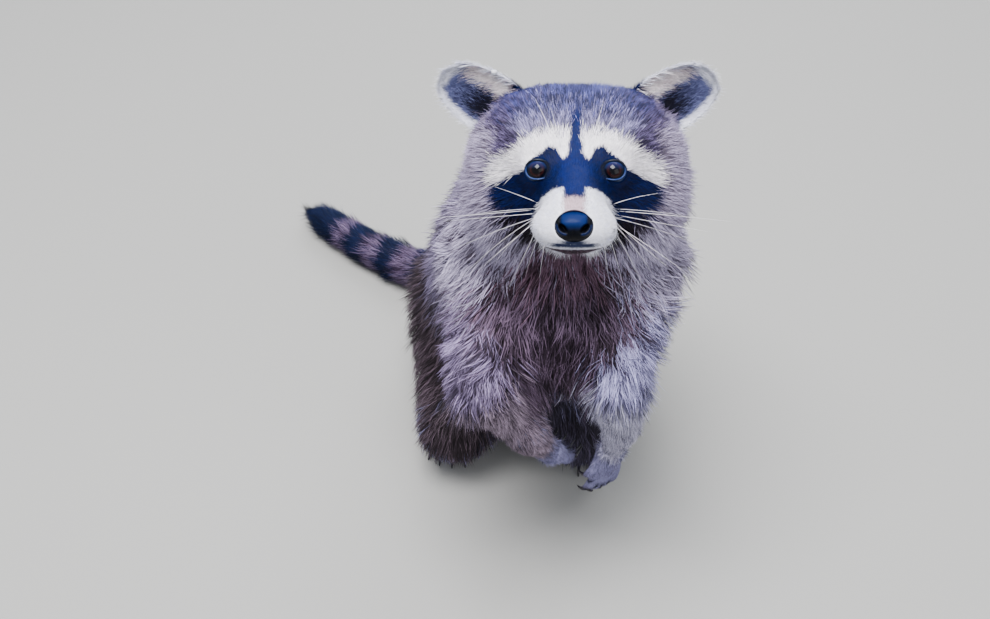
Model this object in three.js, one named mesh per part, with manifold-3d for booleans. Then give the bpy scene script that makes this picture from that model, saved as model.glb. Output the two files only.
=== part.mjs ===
// A raccoon sitting up on its haunches, forepaws hanging in front of the belly and face turned up.
// Millimetres, +Z up, the animal faces -Y, its left side is +X, and it sits on the floor at z = 0.
// The surfaces are the outline of the coat. One smooth distance field describes the furred body, and
// thin cuts part it into the pieces a person would name. Ears, digits, claws, nose and eyes are lofts.

import * as THREE from "three";
import { mergeVertices } from "three/addons/utils/BufferGeometryUtils.js";
import Module from "manifold-3d";

const wasm = await Module();
wasm.setup();

const v = (x, y, z) => new THREE.Vector3(x, y, z);
const mix = THREE.MathUtils.lerp;
const rad = THREE.MathUtils.degToRad;

// ---------------------------------------------------------------- driving dimensions

const GAP = 0.3; // clear space between neighbouring pieces
const WELD = 0.04; // edges shorter than this are closed up
const SEAT = 0.9; // the same round a piece whose facets are laid out apart from its seat's
const EYE_LEVEL = 380; // height of the point midway between the eyes
const HEAD_TILT = 30; // degrees that the muzzle points above the horizon
const HEAD_ROLL = 2.4; // degrees that the head leans to its right
const HEAD_SHIFT = -4; // how far the head sits to the right of the body's middle
const EYE_SPACING = 48;
const EYE_RADIUS = 9;
const FLOOR = 0;

const CELL = { face: 7.8, head: 11.8, body: 23.8, arm: 13.0, nose: 5.4 }; // facet sizes

const head = new THREE.Matrix4()
  .makeRotationX(-rad(HEAD_TILT))
  .multiply(new THREE.Matrix4().makeRotationY(-rad(HEAD_ROLL)))
  .setPosition(HEAD_SHIFT, 0, EYE_LEVEL);
const headInverse = head.clone().invert();
const inHead = (x, y, z) => v(x, y, z).applyMatrix4(head);

// Spine, from the skull down to the rump: place and half-thickness of the furred body.
const SPINE = [
  { at: v(-5, 64, 328), r: 49 },
  { at: v(-10, 82, 284), r: 70 },
  { at: v(-20, 108, 232), r: 79 },
  { at: v(-34, 136, 172), r: 82 },
  { at: v(-43, 156, 112), r: 86 },
];
const RUMP = { at: v(-45, 188, 80), size: v(94, 76, 82) };
const CHEST = { at: v(-14, 58, 262), size: v(78, 62, 66) };
const BREAST = { at: v(-12, 22, 208), size: v(46, 42, 54) };
const BELLY = { at: v(-32, 100, 120), size: v(62, 62, 96) };

const TAIL = {
  knots: [v(-70, 238, 44), v(-112, 267, 27), v(-158, 284, 20.5), v(-204, 312, 17.5), v(-270, 362, 15)],
  root: 25,
  tip: 15,
};

// Joints of the limbs. The forelegs hang, the hind legs are folded with the soles on the floor.
const LIMBS = {
  left: {
    shoulder: v(42, 52, 264),
    elbow: v(34, -30, 216),
    forearm: v(39, -26, 170),
    wrist: v(35, -20, 133),
    fingers: v(21, -18, 67),
    hip: v(14, 184, 84),
    knee: v(8, 74, 49),
    heel: v(14, 164, 0),
    toes: v(22, 70, 0),
  },
  right: {
    shoulder: v(-60, 50, 264),
    elbow: v(-62, -36, 214),
    forearm: v(-29, -29, 155),
    wrist: v(-13, -22, 127),
    fingers: v(-1, 14, 84),
    hip: v(-93, 178, 84),
    knee: v(-93, 68, 49),
    heel: v(-90, 166, 0),
    toes: v(-96, 68, 0),
  },
};

// ---------------------------------------------------------------- distance fields

const ball = (at, size) => {
  // An ellipsoid: distance from its surface, to first order.
  const p = v(0, 0, 0);
  const q = v(0, 0, 0);
  return (x) => {
    p.copy(x).sub(at).divide(size);
    q.copy(p).divide(size);
    const k = p.length();
    return k < 1e-6 ? -Math.min(size.x, size.y, size.z) : (k * (k - 1)) / q.length();
  };
};

const bone = (a, b, ra, rb) => {
  // A straight limb whose radius goes from ra at a to rb at b.
  const ab = b.clone().sub(a);
  const l2 = ab.lengthSq();
  const p = v(0, 0, 0);
  const q = v(0, 0, 0);
  return (x) => {
    p.copy(x).sub(a);
    const t = THREE.MathUtils.clamp(p.dot(ab) / l2, 0, 1);
    q.copy(ab).multiplyScalar(t);
    return p.distanceTo(q) - mix(ra, rb, t);
  };
};

const join = (f, g, soft) => (x) => {
  // A smooth union: the crease between f and g is filled over the width soft.
  const a = f(x);
  const b = g(x);
  const h = Math.max(soft - Math.abs(a - b), 0) / soft;
  return Math.min(a, b) - (h * h * soft) / 4;
};

const joinAll = (fields, soft) => fields.reduce((a, b) => join(a, b, soft));

const chain = (knots, soft) =>
  joinAll(
    knots.slice(1).map((k, i) => bone(knots[i].at, k.at, knots[i].r, k.r)),
    soft,
  );

function headField() {
  // In the head's own frame: x to its left, y backwards, z up, from the point between the eyes.
  const cranium = ball(v(0, 50, -1), v(59, 46, 49));
  const crest = ball(v(27, 50, 10), v(27, 33, 36));
  const temple = ball(v(33, 46, 1), v(41, 35, 37));
  const ruff = ball(v(38, 44, -27), v(36, 34, 36));
  const brow = ball(v(21, 16, 13), v(21, 17, 15));
  const muzzle = bone(v(0, 16, -20), v(0, -34, -27), 26, 17);
  const bridge = bone(v(0, 14, -2), v(0, -45, -18), 15, 9.5);
  const whiskerPad = ball(v(12, -35, -29.5), v(15, 18, 13));
  const jaw = bone(v(0, 24, -38), v(0, -25, -34), 27, 10);
  const chin = ball(v(0, -34, -37), v(12, 14, 7));
  const middle = joinAll([cranium, muzzle, bridge, jaw], 12);
  const side = joinAll([temple, ruff, brow, crest], 14);
  const front = join(whiskerPad, chin, 5);
  const whole = join(join(middle, side, 14), front, 7);
  const p = v(0, 0, 0);
  return (x) => {
    p.copy(x).applyMatrix4(headInverse);
    p.x = Math.abs(p.x);
    return whole(p);
  };
}

function limbField(side) {
  const j = LIMBS[side];
  const foreleg = joinAll(
    [
      bone(j.shoulder, j.elbow, 40, 26),
      bone(j.elbow, j.forearm, 25, 14.5),
      bone(j.forearm, j.wrist, 14.5, 10.5),
    ],
    10,
  );
  const hindleg = joinAll(
    [
      bone(j.hip, j.knee, 54, 36),
      bone(j.knee, v(j.heel.x, j.heel.y, 24), 30, 22),
    ],
    14,
  );
  return { foreleg, hindleg };
}

const left = limbField("left");
const right = limbField("right");
const headShape = headField();
const trunkShape = joinAll(
  [chain(SPINE, 20), ...[RUMP, CHEST, BREAST, BELLY].map((m) => ball(m.at, m.size))],
  20,
);
const tailCurve = new THREE.CatmullRomCurve3(TAIL.knots);
const tailShape = bone(TAIL.knots[0], TAIL.knots[1], TAIL.root, TAIL.root - 1.5);
const body = joinAll(
  [trunkShape, left.hindleg, right.hindleg, left.foreleg, right.foreleg],
  20,
);
const coat = join(join(body, headShape, 26), tailShape, 14);

// ---------------------------------------------------------------- meshing

function solidOf(geometry) {
  const merged = geometry.clone();
  merged.deleteAttribute("normal");
  merged.deleteAttribute("uv");
  const g = mergeVertices(merged, 1e-4);
  const vertProperties = new Float32Array(g.attributes.position.array);
  const triVerts = new Uint32Array(g.index.array);
  return new wasm.Manifold(new wasm.Mesh({ numProp: 3, vertProperties, triVerts }));
}

// A solid's mesh, with each edge shorter than WELD shrunk to a point.
function geometryOf(solid) {
  const { vertProperties, triVerts } = solid.getMesh();
  const at = (i) => v(...vertProperties.subarray(3 * i, 3 * i + 3));
  const alias = Array.from({ length: vertProperties.length / 3 }, (_, i) => i);
  const root = (i) => (alias[i] === i ? i : root(alias[i]));
  const faces = [];
  for (let t = 0; t < triVerts.length; t += 3) faces.push([...triVerts.subarray(t, t + 3)]);
  for (const face of faces)
    face.forEach((a, k) => {
      const b = face[(k + 1) % 3];
      if (at(a).distanceTo(at(b)) < WELD) alias[root(a)] = root(b);
    });
  const kept = faces.map((face) => face.map(root)).filter((face) => new Set(face).size === 3);
  const geometry = new THREE.BufferGeometry();
  geometry.setAttribute("position", new THREE.BufferAttribute(vertProperties, 3));
  return geometry.setIndex(kept.flat());
}

// The zero surface of a field inside a box, as a closed solid with facets about one cell wide.
// Each cell that the surface crosses holds one vertex, moved onto the surface; each crossed grid
// edge gives one face between the four cells round it.
function surfaceOf(field, low, high, cell) {
  const centre = low.clone().add(high).multiplyScalar(0.5);
  const half = high.clone().sub(low).multiplyScalar(0.5);
  const clipped = (x) => {
    const dx = Math.abs(x.x - centre.x) - half.x;
    const dy = Math.abs(x.y - centre.y) - half.y;
    const dz = Math.abs(x.z - centre.z) - half.z;
    return Math.max(field(x), dx, dy, dz);
  };
  const origin = low.clone().subScalar(1.37 * cell);
  const n = ["x", "y", "z"].map((k) => Math.ceil((2 * half[k]) / cell) + 4);
  const place = (i, j, k) => v(origin.x + i * cell, origin.y + j * cell, origin.z + k * cell);
  const index = (i, j, k) => (i * n[1] + j) * n[2] + k;
  const value = new Float64Array(n[0] * n[1] * n[2]);
  for (let i = 0; i < n[0]; i++)
    for (let j = 0; j < n[1]; j++)
      for (let k = 0; k < n[2]; k++) value[index(i, j, k)] = clipped(place(i, j, k));

  const corners = [];
  for (let c = 0; c < 8; c++) corners.push([c & 1, (c >> 1) & 1, (c >> 2) & 1]);
  const vertexOf = new Int32Array(value.length).fill(-1);
  const points = [];
  for (let i = 0; i < n[0] - 1; i++)
    for (let j = 0; j < n[1] - 1; j++)
      for (let k = 0; k < n[2] - 1; k++) {
        const sum = v(0, 0, 0);
        let crossings = 0;
        for (let a = 0; a < 8; a++)
          for (let axis = 0; axis < 3; axis++) {
            if (corners[a][axis]) continue;
            const b = corners[a].slice();
            b[axis] = 1;
            const [ai, aj, ak] = corners[a];
            const fa = value[index(i + ai, j + aj, k + ak)];
            const fb = value[index(i + b[0], j + b[1], k + b[2])];
            if (fa < 0 === fb < 0) continue;
            const t = fa / (fa - fb);
            const p = place(i + ai, j + aj, k + ak);
            sum.add(p.lerp(place(i + b[0], j + b[1], k + b[2]), t));
            crossings += 1;
          }
        if (!crossings) continue;
        vertexOf[index(i, j, k)] = points.length;
        points.push(onto(clipped, sum.divideScalar(crossings), 0.3 * cell));
      }

  const faces = [];
  const quad = (a, b, c, d) => {
    const even = points[a].distanceTo(points[c]) < points[b].distanceTo(points[d]);
    faces.push(...(even ? [a, b, c, a, c, d] : [a, b, d, b, c, d]));
  };
  for (let i = 1; i < n[0] - 1; i++)
    for (let j = 1; j < n[1] - 1; j++)
      for (let k = 1; k < n[2] - 1; k++) {
        const inside = value[index(i, j, k)] < 0;
        const around = [
          [inside !== value[index(i + 1, j, k)] < 0, [0, 1, 0], [0, 0, 1]],
          [inside !== value[index(i, j + 1, k)] < 0, [0, 0, 1], [1, 0, 0]],
          [inside !== value[index(i, j, k + 1)] < 0, [1, 0, 0], [0, 1, 0]],
        ];
        for (const [crossed, s, t] of around) {
          if (!crossed) continue;
          const cellAt = (p, q) =>
            vertexOf[
              index(i - p * s[0] - q * t[0], j - p * s[1] - q * t[1], k - p * s[2] - q * t[2])
            ];
          const ring = [cellAt(0, 0), cellAt(1, 0), cellAt(1, 1), cellAt(0, 1)];
          quad(...(inside ? ring : ring.reverse()));
        }
      }
  const geometry = new THREE.BufferGeometry().setFromPoints(points).setIndex(faces);
  return solidOf(geometry);
}

// Moves a point onto the field's zero surface, by at most reach.
function onto(field, point, reach) {
  const start = point.clone();
  const e = 0.05;
  for (let step = 0; step < 3; step++) {
    const f = field(point);
    const slope = v(
      field(v(point.x + e, point.y, point.z)) - f,
      field(v(point.x, point.y + e, point.z)) - f,
      field(v(point.x, point.y, point.z + e)) - f,
    ).divideScalar(e);
    point.addScaledVector(slope, -f / Math.max(slope.lengthSq(), 0.25));
  }
  const moved = point.clone().sub(start);
  return start.add(moved.clampLength(0, reach));
}

// A closed skin over rings of points that go round the same way, with a fan at each end.
function loft(rings) {
  const m = rings[0].length;
  const middle = (ring) =>
    ring.reduce((sum, p) => sum.add(p), v(0, 0, 0)).divideScalar(ring.length);
  const points = rings.flat();
  const first = points.push(middle(rings[0])) - 1;
  const last = points.push(middle(rings.at(-1))) - 1;
  const faces = [];
  for (let i = 0; i < m; i++) {
    const j = (i + 1) % m;
    for (let r = 0; r < rings.length - 1; r++) {
      const a = r * m;
      const b = a + m;
      faces.push(a + i, a + j, b + j, a + i, b + j, b + i);
    }
    faces.push(first, j, i);
    faces.push(last, (rings.length - 1) * m + i, (rings.length - 1) * m + j);
  }
  const solid = solidOf(new THREE.BufferGeometry().setFromPoints(points).setIndex(faces));
  if (solid.volume() > 0) return solid;
  const turned = faces.slice().reverse();
  return solidOf(new THREE.BufferGeometry().setFromPoints(points).setIndex(turned));
}

// A round tube along a curve, whose thickness at the share t of its length is radius(t).
function tube(curve, radius, steps, sides) {
  const rings = [];
  for (let s = 0; s <= steps; s++) {
    const t = s / steps;
    const at = curve.getPointAt(t);
    const along = curve.getTangentAt(t);
    const across = v(0.31, 0.17, 0.93).cross(along).normalize();
    const up = along.clone().cross(across);
    const ring = [];
    for (let i = 0; i < sides; i++) {
      const a = (2 * Math.PI * i) / sides;
      const p = at.clone().addScaledVector(across, radius(t) * Math.cos(a));
      ring.push(p.addScaledVector(up, radius(t) * Math.sin(a)));
    }
    rings.push(ring);
  }
  return loft(rings);
}

// A radius from r0 to r1 that rounds off over the last share `nose` of the length.
const roundTip = (r0, r1, nose) => (t) => {
  const end = (1 - t) / nose;
  const shut = end < 1 ? Math.sqrt(Math.max(1 - (1 - end) ** 2, 0.09)) : 1;
  return mix(r0, r1, t) * shut;
};

// The half space on the side of a plane that its normal points to, less `back` millimetres.
function beyond(point, normal, back = 0, size = 420) {
  const n = normal.clone().normalize();
  const turn = new THREE.Quaternion().setFromUnitVectors(v(0, 0, 1), n);
  const centre = point.clone().addScaledVector(n, size / 2 + back);
  const block = new THREE.BoxGeometry(2 * size, 2 * size, size);
  block.applyMatrix4(new THREE.Matrix4().compose(centre, turn, v(1, 1, 1)));
  return solidOf(block);
}

const union = (solids) => solids.reduce((a, b) => a.add(b));
const largest = (solid) =>
  solid.decompose().reduce((a, b) => (a.volume() > b.volume() ? a : b));

// ---------------------------------------------------------------- furred pieces

const FUR = { color: 0x776a66, roughness: 0.95 };
const MASK = { color: 0x14161c, roughness: 0.9 };
const WHITE = { color: 0xd9d4d0, roughness: 0.95 };
const SKIN = { color: 0x2b2a30, roughness: 0.75 };
const HORN = { color: 0x3a332e, roughness: 0.45 };
const NOSE = { color: 0x0c0d10, roughness: 0.35 };
const EYE = { color: 0x1c0d08, roughness: 0.08 };

const group = new THREE.Group();
function keep(name, solid, look) {
  const mesh = new THREE.Mesh(geometryOf(solid), new THREE.MeshStandardMaterial(look));
  mesh.name = name;
  mesh.material.metalness = 0;
  group.add(mesh);
}

const towards = (x, y, z) => v(x, y, z).transformDirection(head);

// Planes that part the body: a point, and the direction in which the named piece lies.
const CUTS = {
  head: { at: v(0, 56, 328), to: v(0, -0.55, 0.83) },
  muzzle: { at: inHead(0, -3, 0), to: towards(0, -1, 0) },
  jaw: { at: inHead(0, -20, -36), to: towards(0, 0.06, -1) },
  neck: { at: v(0, 92, 300), to: v(0, -0.45, 0.89) },
  chest: { at: v(-34, 136, 172), to: v(0.2, -0.4, 0.9) },
  tailBase: { at: v(-86, 252, 38), to: v(-0.78, 0.6, -0.2) },
  tailMiddle: { at: v(-152, 281, 20), to: v(-0.93, 0.36, 0) },
  tailTip: { at: v(-206, 313, 18), to: v(-0.8, 0.6, 0) },
};
const past = (cut) => beyond(cut.at, cut.to, GAP / 2);
const before = (cut) => beyond(cut.at, cut.to.clone().negate(), GAP / 2);
const aboveFloor = beyond(v(0, 0, FLOOR), v(0, 0, 1));

// The furred outline in a box, trimmed flat where it rests on the floor.
const furred = (low, high, cell, grow = 0) =>
  surfaceOf((x) => coat(x) - grow, low, high, cell).intersect(aboveFloor);
const wholeBody = furred(v(-200, -90, -30), v(120, 300, 420), CELL.body);

// Planes that part each limb from the body. `out` is +1 on the animal's left, -1 on its right.
function limbCuts(side) {
  const out = side === "left" ? 1 : -1;
  const j = LIMBS[side];
  return {
    shoulder: { at: v(j.shoulder.x - 20 * out, 20, 240), to: v(0.75 * out, -0.6, -0.25) },
    elbow: { at: j.elbow.clone(), to: v(0, 0.2, -0.98) },
    wrist: { at: j.wrist.clone(), to: j.fingers.clone().sub(j.wrist).normalize() },
    thigh: { at: v(j.hip.x + 4 * out, 150, 60), to: v(0.97 * out, -0.24, 0) },
    hip: { at: v(j.hip.x, 160, 136), to: v(0.3 * out, 0, -0.95) },
  };
}
// A sleeve round the forearm, which parts it from the belly behind it.
function sleeve(side, room) {
  const { elbow, wrist } = LIMBS[side];
  const line = new THREE.LineCurve3(elbow.clone().lerp(wrist, -0.3), elbow.clone().lerp(wrist, 1.3));
  return tube(line, (t) => mix(40, 22, t) + room, 1, 12);
}
const near = (cut) => beyond(cut.at, cut.to, -GAP / 2);
const short = (cut) => beyond(cut.at, cut.to.clone().negate(), -GAP / 2);

// ---------------------------------------------------------------- paws

// A frame whose origin is at `at`, +y along the paw, +z out of its back.
function pawFrame(at, along, back) {
  const y = along.clone().normalize();
  const z = back.clone().addScaledVector(y, -back.dot(y)).normalize();
  return new THREE.Matrix4().makeBasis(y.clone().cross(z), y, z).setPosition(at);
}

const FOREPAW = {
  palm: 31,
  wrist: [11, 10],
  knuckles: [11.5, 7.5],
  digit: [4.3, 3.3],
  reach: [13, 27, 31, 29, 22],
  fan: 3.8,
  lift: 2,
  curl: -5,
  claw: 8,
};
const HINDPAW = {
  palm: 62,
  wrist: [14, 13],
  knuckles: [19, 10],
  digit: [5.4, 4.1],
  reach: [20, 25, 27, 26, 22],
  fan: 5,
  lift: 2,
  curl: -1,
  claw: 10,
};

// One paw: a flattened palm that widens from wrist to knuckles, with five digits that fan out.
// Returns the furred paw and its claws. `inner` is the side of the first digit, in the frame.
function paw(frame, size, inner) {
  const palm = (room) =>
    loft(
      [0, 0.3, 0.65, 1].map((t) => {
        const half = [0, 1].map((k) => mix(size.wrist[k], size.knuckles[k], Math.sqrt(t)) + room);
        const shut = t === 1 ? 0.82 : 1;
        return Array.from({ length: 8 }, (_, i) => {
          const a = (Math.PI * i) / 4;
          const run = GAP / 2 + t * size.palm + (t === 0 ? -room : room);
          return v(half[0] * shut * Math.cos(a), run, half[1] * shut * Math.sin(a)).applyMatrix4(frame);
        });
      }),
    );
  const back = v(0, 0, 1).transformDirection(frame);
  const digits = [];
  const claws = [];
  const rooms = [palm(GAP)];
  for (let i = 0; i < 5; i++) {
    const slot = (i - 2) * inner;
    const turn = rad(slot * size.fan);
    const root = i === 0 ? size.palm - 14 : size.palm - 8;
    const spot = (run, rise) =>
      v(
        slot * size.knuckles[0] * 0.4 + Math.sin(turn) * run,
        root + Math.cos(turn) * run,
        rise,
      ).applyMatrix4(frame);
    const full = size.reach[i] + 7;
    const line = new THREE.QuadraticBezierCurve3(
      spot(0, 0),
      spot(full * 0.6, size.lift * 2),
      spot(full, size.curl),
    );
    const radius = roundTip(size.digit[0], size.digit[1], 0.16);
    digits.push(tube(line, radius, 3, 6));
    rooms.push(tube(line, (t) => radius(t) + GAP + 0.1, 3, 6));
    const tip = line.getPoint(1);
    const ahead = line.getTangent(1);
    const up = back.clone().addScaledVector(ahead, -back.dot(ahead)).normalize();
    const spur = (run, rise) =>
      tip.clone().addScaledVector(ahead, GAP + 0.4 + run).addScaledVector(up, rise);
    const horn = new THREE.QuadraticBezierCurve3(
      spur(0, 0.5),
      spur(size.claw * 0.55, 1.4),
      spur(size.claw, -1.6),
    );
    claws.push(tube(horn, (t) => mix(1.7, 0.45, t), 2, 4).intersect(aboveFloor));
  }
  const flesh = union([palm(0), ...digits]).intersect(aboveFloor);
  return { flesh, claws, room: union(rooms) };
}

// ---------------------------------------------------------------- limbs and trunk

let trunk = wholeBody.intersect(before(CUTS.neck)).intersect(before(CUTS.tailBase));
const armBox = [v(-130, -90, 90), v(100, 90, 262)];
const armBody = furred(...armBox, CELL.arm);
const paws = {};
for (const side of ["left", "right"]) {
  const c = limbCuts(side);
  const j = LIMBS[side];
  const out = side === "left" ? 1 : -1;
  const fore = paw(
    pawFrame(j.wrist, j.fingers.clone().sub(j.wrist), v(out * 0.55, -1, 0.2)),
    FOREPAW,
    -out,
  );
  const run = j.toes.clone().sub(j.heel).normalize();
  const ankle = j.heel.clone().addScaledVector(run, 14);
  const hind = paw(pawFrame(ankle.setZ(5), run, v(0, 0, 1)), HINDPAW, -out);
  paws[side] = { forepaw: fore, hindpaw: hind };

  const forearm = largest(armBody.intersect(past(c.elbow)).intersect(sleeve(side, 0)));
  keep("upper_arm_" + side, largest(trunk.intersect(past(c.shoulder)).intersect(before(c.elbow))), FUR);
  keep("forearm_" + side, forearm.intersect(before(c.wrist)), FUR);
  keep("thigh_" + side, largest(trunk.intersect(past(c.thigh)).intersect(past(c.hip))).subtract(hind.room), FUR);
  trunk = trunk
    .subtract(near(c.shoulder).intersect(short(c.elbow)))
    .subtract(near(c.elbow).intersect(sleeve(side, GAP)))
    .subtract(near(c.thigh).intersect(near(c.hip)))
    .subtract(hind.room);
  for (const [name, foot] of Object.entries(paws[side])) {
    keep(name + "_" + side, foot.flesh, SKIN);
    foot.claws.forEach((claw, i) => keep(`claw_${name}_${side}_${i + 1}`, claw, HORN));
  }
}
keep("chest", largest(trunk.intersect(past(CUTS.chest))), FUR);
keep("abdomen", largest(trunk.intersect(before(CUTS.chest))), FUR);
keep("neck", largest(wholeBody.intersect(past(CUTS.neck)).intersect(before(CUTS.head))), FUR);

const tail = tube(tailCurve, roundTip(TAIL.root, TAIL.tip, 0.12), 12, 10).intersect(aboveFloor);
keep("tail_base", tail.intersect(past(CUTS.tailBase)).intersect(before(CUTS.tailMiddle)), FUR);
keep("tail_middle", tail.intersect(past(CUTS.tailMiddle)).intersect(before(CUTS.tailTip)), MASK);
keep("tail_tip", tail.intersect(past(CUTS.tailTip)), MASK);

// ---------------------------------------------------------------- head

const sphere = (at, r, around, up) =>
  solidOf(new THREE.SphereGeometry(r, around, up).translate(at.x, at.y, at.z));
const noseShape = join(
  ball(v(0, -51, -23.5), v(12.3, 8, 8.5)),
  ball(v(0, -51, -29.5), v(7, 7, 6)),
  5,
);
const noseAt = (room) =>
  surfaceOf(
    (x) => noseShape(x.clone().applyMatrix4(headInverse)) - room,
    inHead(0, -51, -27).subScalar(19),
    inHead(0, -51, -27).addScalar(19),
    CELL.nose,
  );
const nose = noseAt(0);

// An ear: a cupped leaf on an axis from its root to its tip, open to the front.
const EAR = {
  root: v(49, 58, 24),
  tip: v(87, 48, 58),
  across: v(-0.72, -0.12, 0.69),
  half: [19, 21, 20, 17, 12, 4],
  lean: [3, 2.5, 1, 0, 0, 0],
  cup: [6, 11, 12, 10.5, 7, 3],
  thick: 6,
};
function ear(side) {
  const out = side === "left" ? 1 : -1;
  const along = EAR.tip.clone().sub(EAR.root);
  const across = EAR.across.clone().addScaledVector(along, -EAR.across.dot(along) / along.lengthSq());
  across.normalize();
  const back = across.clone().cross(along).normalize();
  if (back.y < 0) back.negate();
  const rings = EAR.half.map((half, r) => {
    const t = r / (EAR.half.length - 1);
    const at = EAR.root.clone().addScaledVector(along, Math.sin((Math.PI / 2) * t * 0.92) / 0.992);
    at.addScaledVector(across, EAR.lean[r]);
    const cup = EAR.cup[r];
    const hollow = Math.max(cup - EAR.thick, -EAR.thick * 0.4);
    return Array.from({ length: 12 }, (_, i) => {
      const a = (Math.PI * i) / 6;
      const wide = half * Math.cos(a);
      const deep = Math.sin(a) > 0 ? cup * Math.sin(a) : hollow * Math.sin(-a) - 1.2;
      const p = at.clone().addScaledVector(across, wide).addScaledVector(back, deep);
      return v(out * p.x, p.y, p.z).applyMatrix4(head);
    });
  });
  return loft(rings);
}

const headBox = [v(-100, -120, 270), v(100, 140, 450)];
const eyes = Object.fromEntries(
  [["left", 1], ["right", -1]].map(([side, out]) => [side, inHead((out * EYE_SPACING) / 2, 4, 0)]),
);
const sockets = union(Object.values(eyes).map((at) => sphere(at, EYE_RADIUS + GAP + 0.15, 12, 8)));
const hollow = sockets.add(noseAt(SEAT));
const faceBox = [inHead(0, -36, -26).subScalar(46), inHead(0, -36, -26).addScalar(46)];
const skull = largest(furred(...headBox, CELL.head).intersect(past(CUTS.head)));
const face = largest(furred(...faceBox, CELL.face).intersect(past(CUTS.muzzle))).subtract(hollow);
keep("head", largest(skull.intersect(before(CUTS.muzzle)).subtract(hollow)), FUR);
keep("muzzle", largest(face.intersect(before(CUTS.jaw))), WHITE);
keep("lower_jaw", largest(face.intersect(past(CUTS.jaw))), WHITE);
keep("nose", nose, NOSE);
const headRoom = furred(...headBox, CELL.head, SEAT);
for (const side of ["left", "right"]) {
  keep("eye_" + side, sphere(eyes[side], EYE_RADIUS, 12, 7), EYE);
  keep("ear_" + side, largest(ear(side).subtract(headRoom)), FUR);
}

// The origin is on the floor, under the middle of the animal's box.
const box = new THREE.Box3().setFromObject(group);
const middle = box.getCenter(v(0, 0, 0));
group.children.forEach((mesh) => mesh.position.set(-middle.x, -middle.y, -box.min.z));

export default group;
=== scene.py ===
"""A raccoon sitting up: one skin, its coat of mesh tufts, eyes, nose, claws and whiskers.

Lengths in the tables are millimetres. Places on the body are measured from the point on the floor
under the body's middle line, and places on the head from the point between the eyes: x to the
animal's left, y backwards, z up.
"""
import logging
import math
from dataclasses import dataclass, field
from enum import Enum

import bmesh
import bpy
import numpy as np
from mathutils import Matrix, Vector
from mathutils.bvhtree import BVHTree


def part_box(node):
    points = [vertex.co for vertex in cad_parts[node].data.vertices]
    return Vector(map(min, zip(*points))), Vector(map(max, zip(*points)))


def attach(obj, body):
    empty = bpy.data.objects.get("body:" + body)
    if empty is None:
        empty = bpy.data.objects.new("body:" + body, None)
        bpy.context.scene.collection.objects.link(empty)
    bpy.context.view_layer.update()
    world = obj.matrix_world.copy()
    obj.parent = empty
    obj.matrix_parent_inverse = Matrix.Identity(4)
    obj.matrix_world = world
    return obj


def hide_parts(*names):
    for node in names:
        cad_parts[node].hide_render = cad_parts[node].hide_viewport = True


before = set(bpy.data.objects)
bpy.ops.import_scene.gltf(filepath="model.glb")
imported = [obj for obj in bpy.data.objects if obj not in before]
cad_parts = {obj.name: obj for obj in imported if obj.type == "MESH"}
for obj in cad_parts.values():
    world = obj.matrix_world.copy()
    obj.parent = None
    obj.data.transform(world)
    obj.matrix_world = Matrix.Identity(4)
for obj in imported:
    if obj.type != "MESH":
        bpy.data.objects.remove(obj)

logging.basicConfig(level=logging.INFO, format="%(message)s")
log = logging.getLogger("raccoon")

MM = 0.001
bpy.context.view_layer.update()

HEAD_TILT = math.radians(30.0)
HEAD_SHIFT = -4.0
EYE_LEVEL = 380.0
EYE_SETBACK = 4.0
SIGHT_DROP = math.radians(15.0)
SIGHT_RANGE = 874.0

# Places blended at a time, the distance that tempers a near station, and the least share kept
BLEND_BLOCK = 20000
BLEND_CORE = 4.0
LEAST_SHARE = 0.04

# How far a paw's pattern reaches past its box, and the y on the head where the face's coat ends
PAW_REACH = 6.0
FACE_END = 26.0
FAR = 1e4

# Bare margins at the lips' front, along the mouth and round the lids
LIP_BARE = 3.0
MOUTH_BARE = 1.0
LID_BARE = 1.0

# Heights over zero: of bare soles and underside, the least of each piece, and the floor's below it
BARE_SOLE = 3.0
BARE_UNDERSIDE = 1.5
CLAW_AXIS_CLEAR = 0.7
CLAW_CLEAR = 0.2
SPINE_CLEAR = 0.6
TUFT_CLEAR = 0.3
FLOOR_DROP = 0.2

# How deep whiskers are rooted, and the tail's depths, lengths and rings by the distance along it
WHISKER_ROOT = 0.8
TAIL_DEPTHS = ((0, 30, 60, 240), (12.0, 9.0, 7.0, 7.0))
TAIL_SKIN_DEPTHS = ((0, 30, 60, 240), (12.0, 9.0, 6.5, 6.0))
TAIL_LENGTHS = ((0, 60, 240), (30.0, 22.0, 24.0))
TAIL_RINGS = ((48.0, 66.0), (99.0, 116.0), (141.0, 156.0), (182.0, 195.0))

Array = np.ndarray
Colour = tuple[float, float, float]


# ---------------------------------------------------------------- small helpers


def unit(vectors: Array) -> Array:
    """The same directions with length one; vectors lie in the last axis."""
    size = np.linalg.norm(vectors, axis=-1, keepdims=True)
    return vectors / np.maximum(size, 1e-12)


def ramp(low: float, high: float, value: Array) -> Array:
    """Smooth step: 0 at low, 1 at high, with the cubic 3t^2 - 2t^3 between them.

    Args:
        low: Value that gives 0.
        high: Value that gives 1; it may be below low.
        value: What is stepped.

    Returns:
        The step, from 0 to 1.
    """
    t = np.clip((value - low) / (high - low), 0.0, 1.0)
    return t * t * (3.0 - 2.0 * t)


def linear(colour: Colour) -> Array:
    """Linear red, green and blue from 0 to 1 for a display colour from 0 to 255."""
    c = np.asarray(colour, dtype=float) / 255.0
    return np.where(c <= 0.04045, c / 12.92, ((c + 0.055) / 1.055) ** 2.4)


def mix(one: Array, two: Array, share: Array) -> Array:
    """One value moved towards another by a share of the way."""
    return one + (two - one) * share


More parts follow.
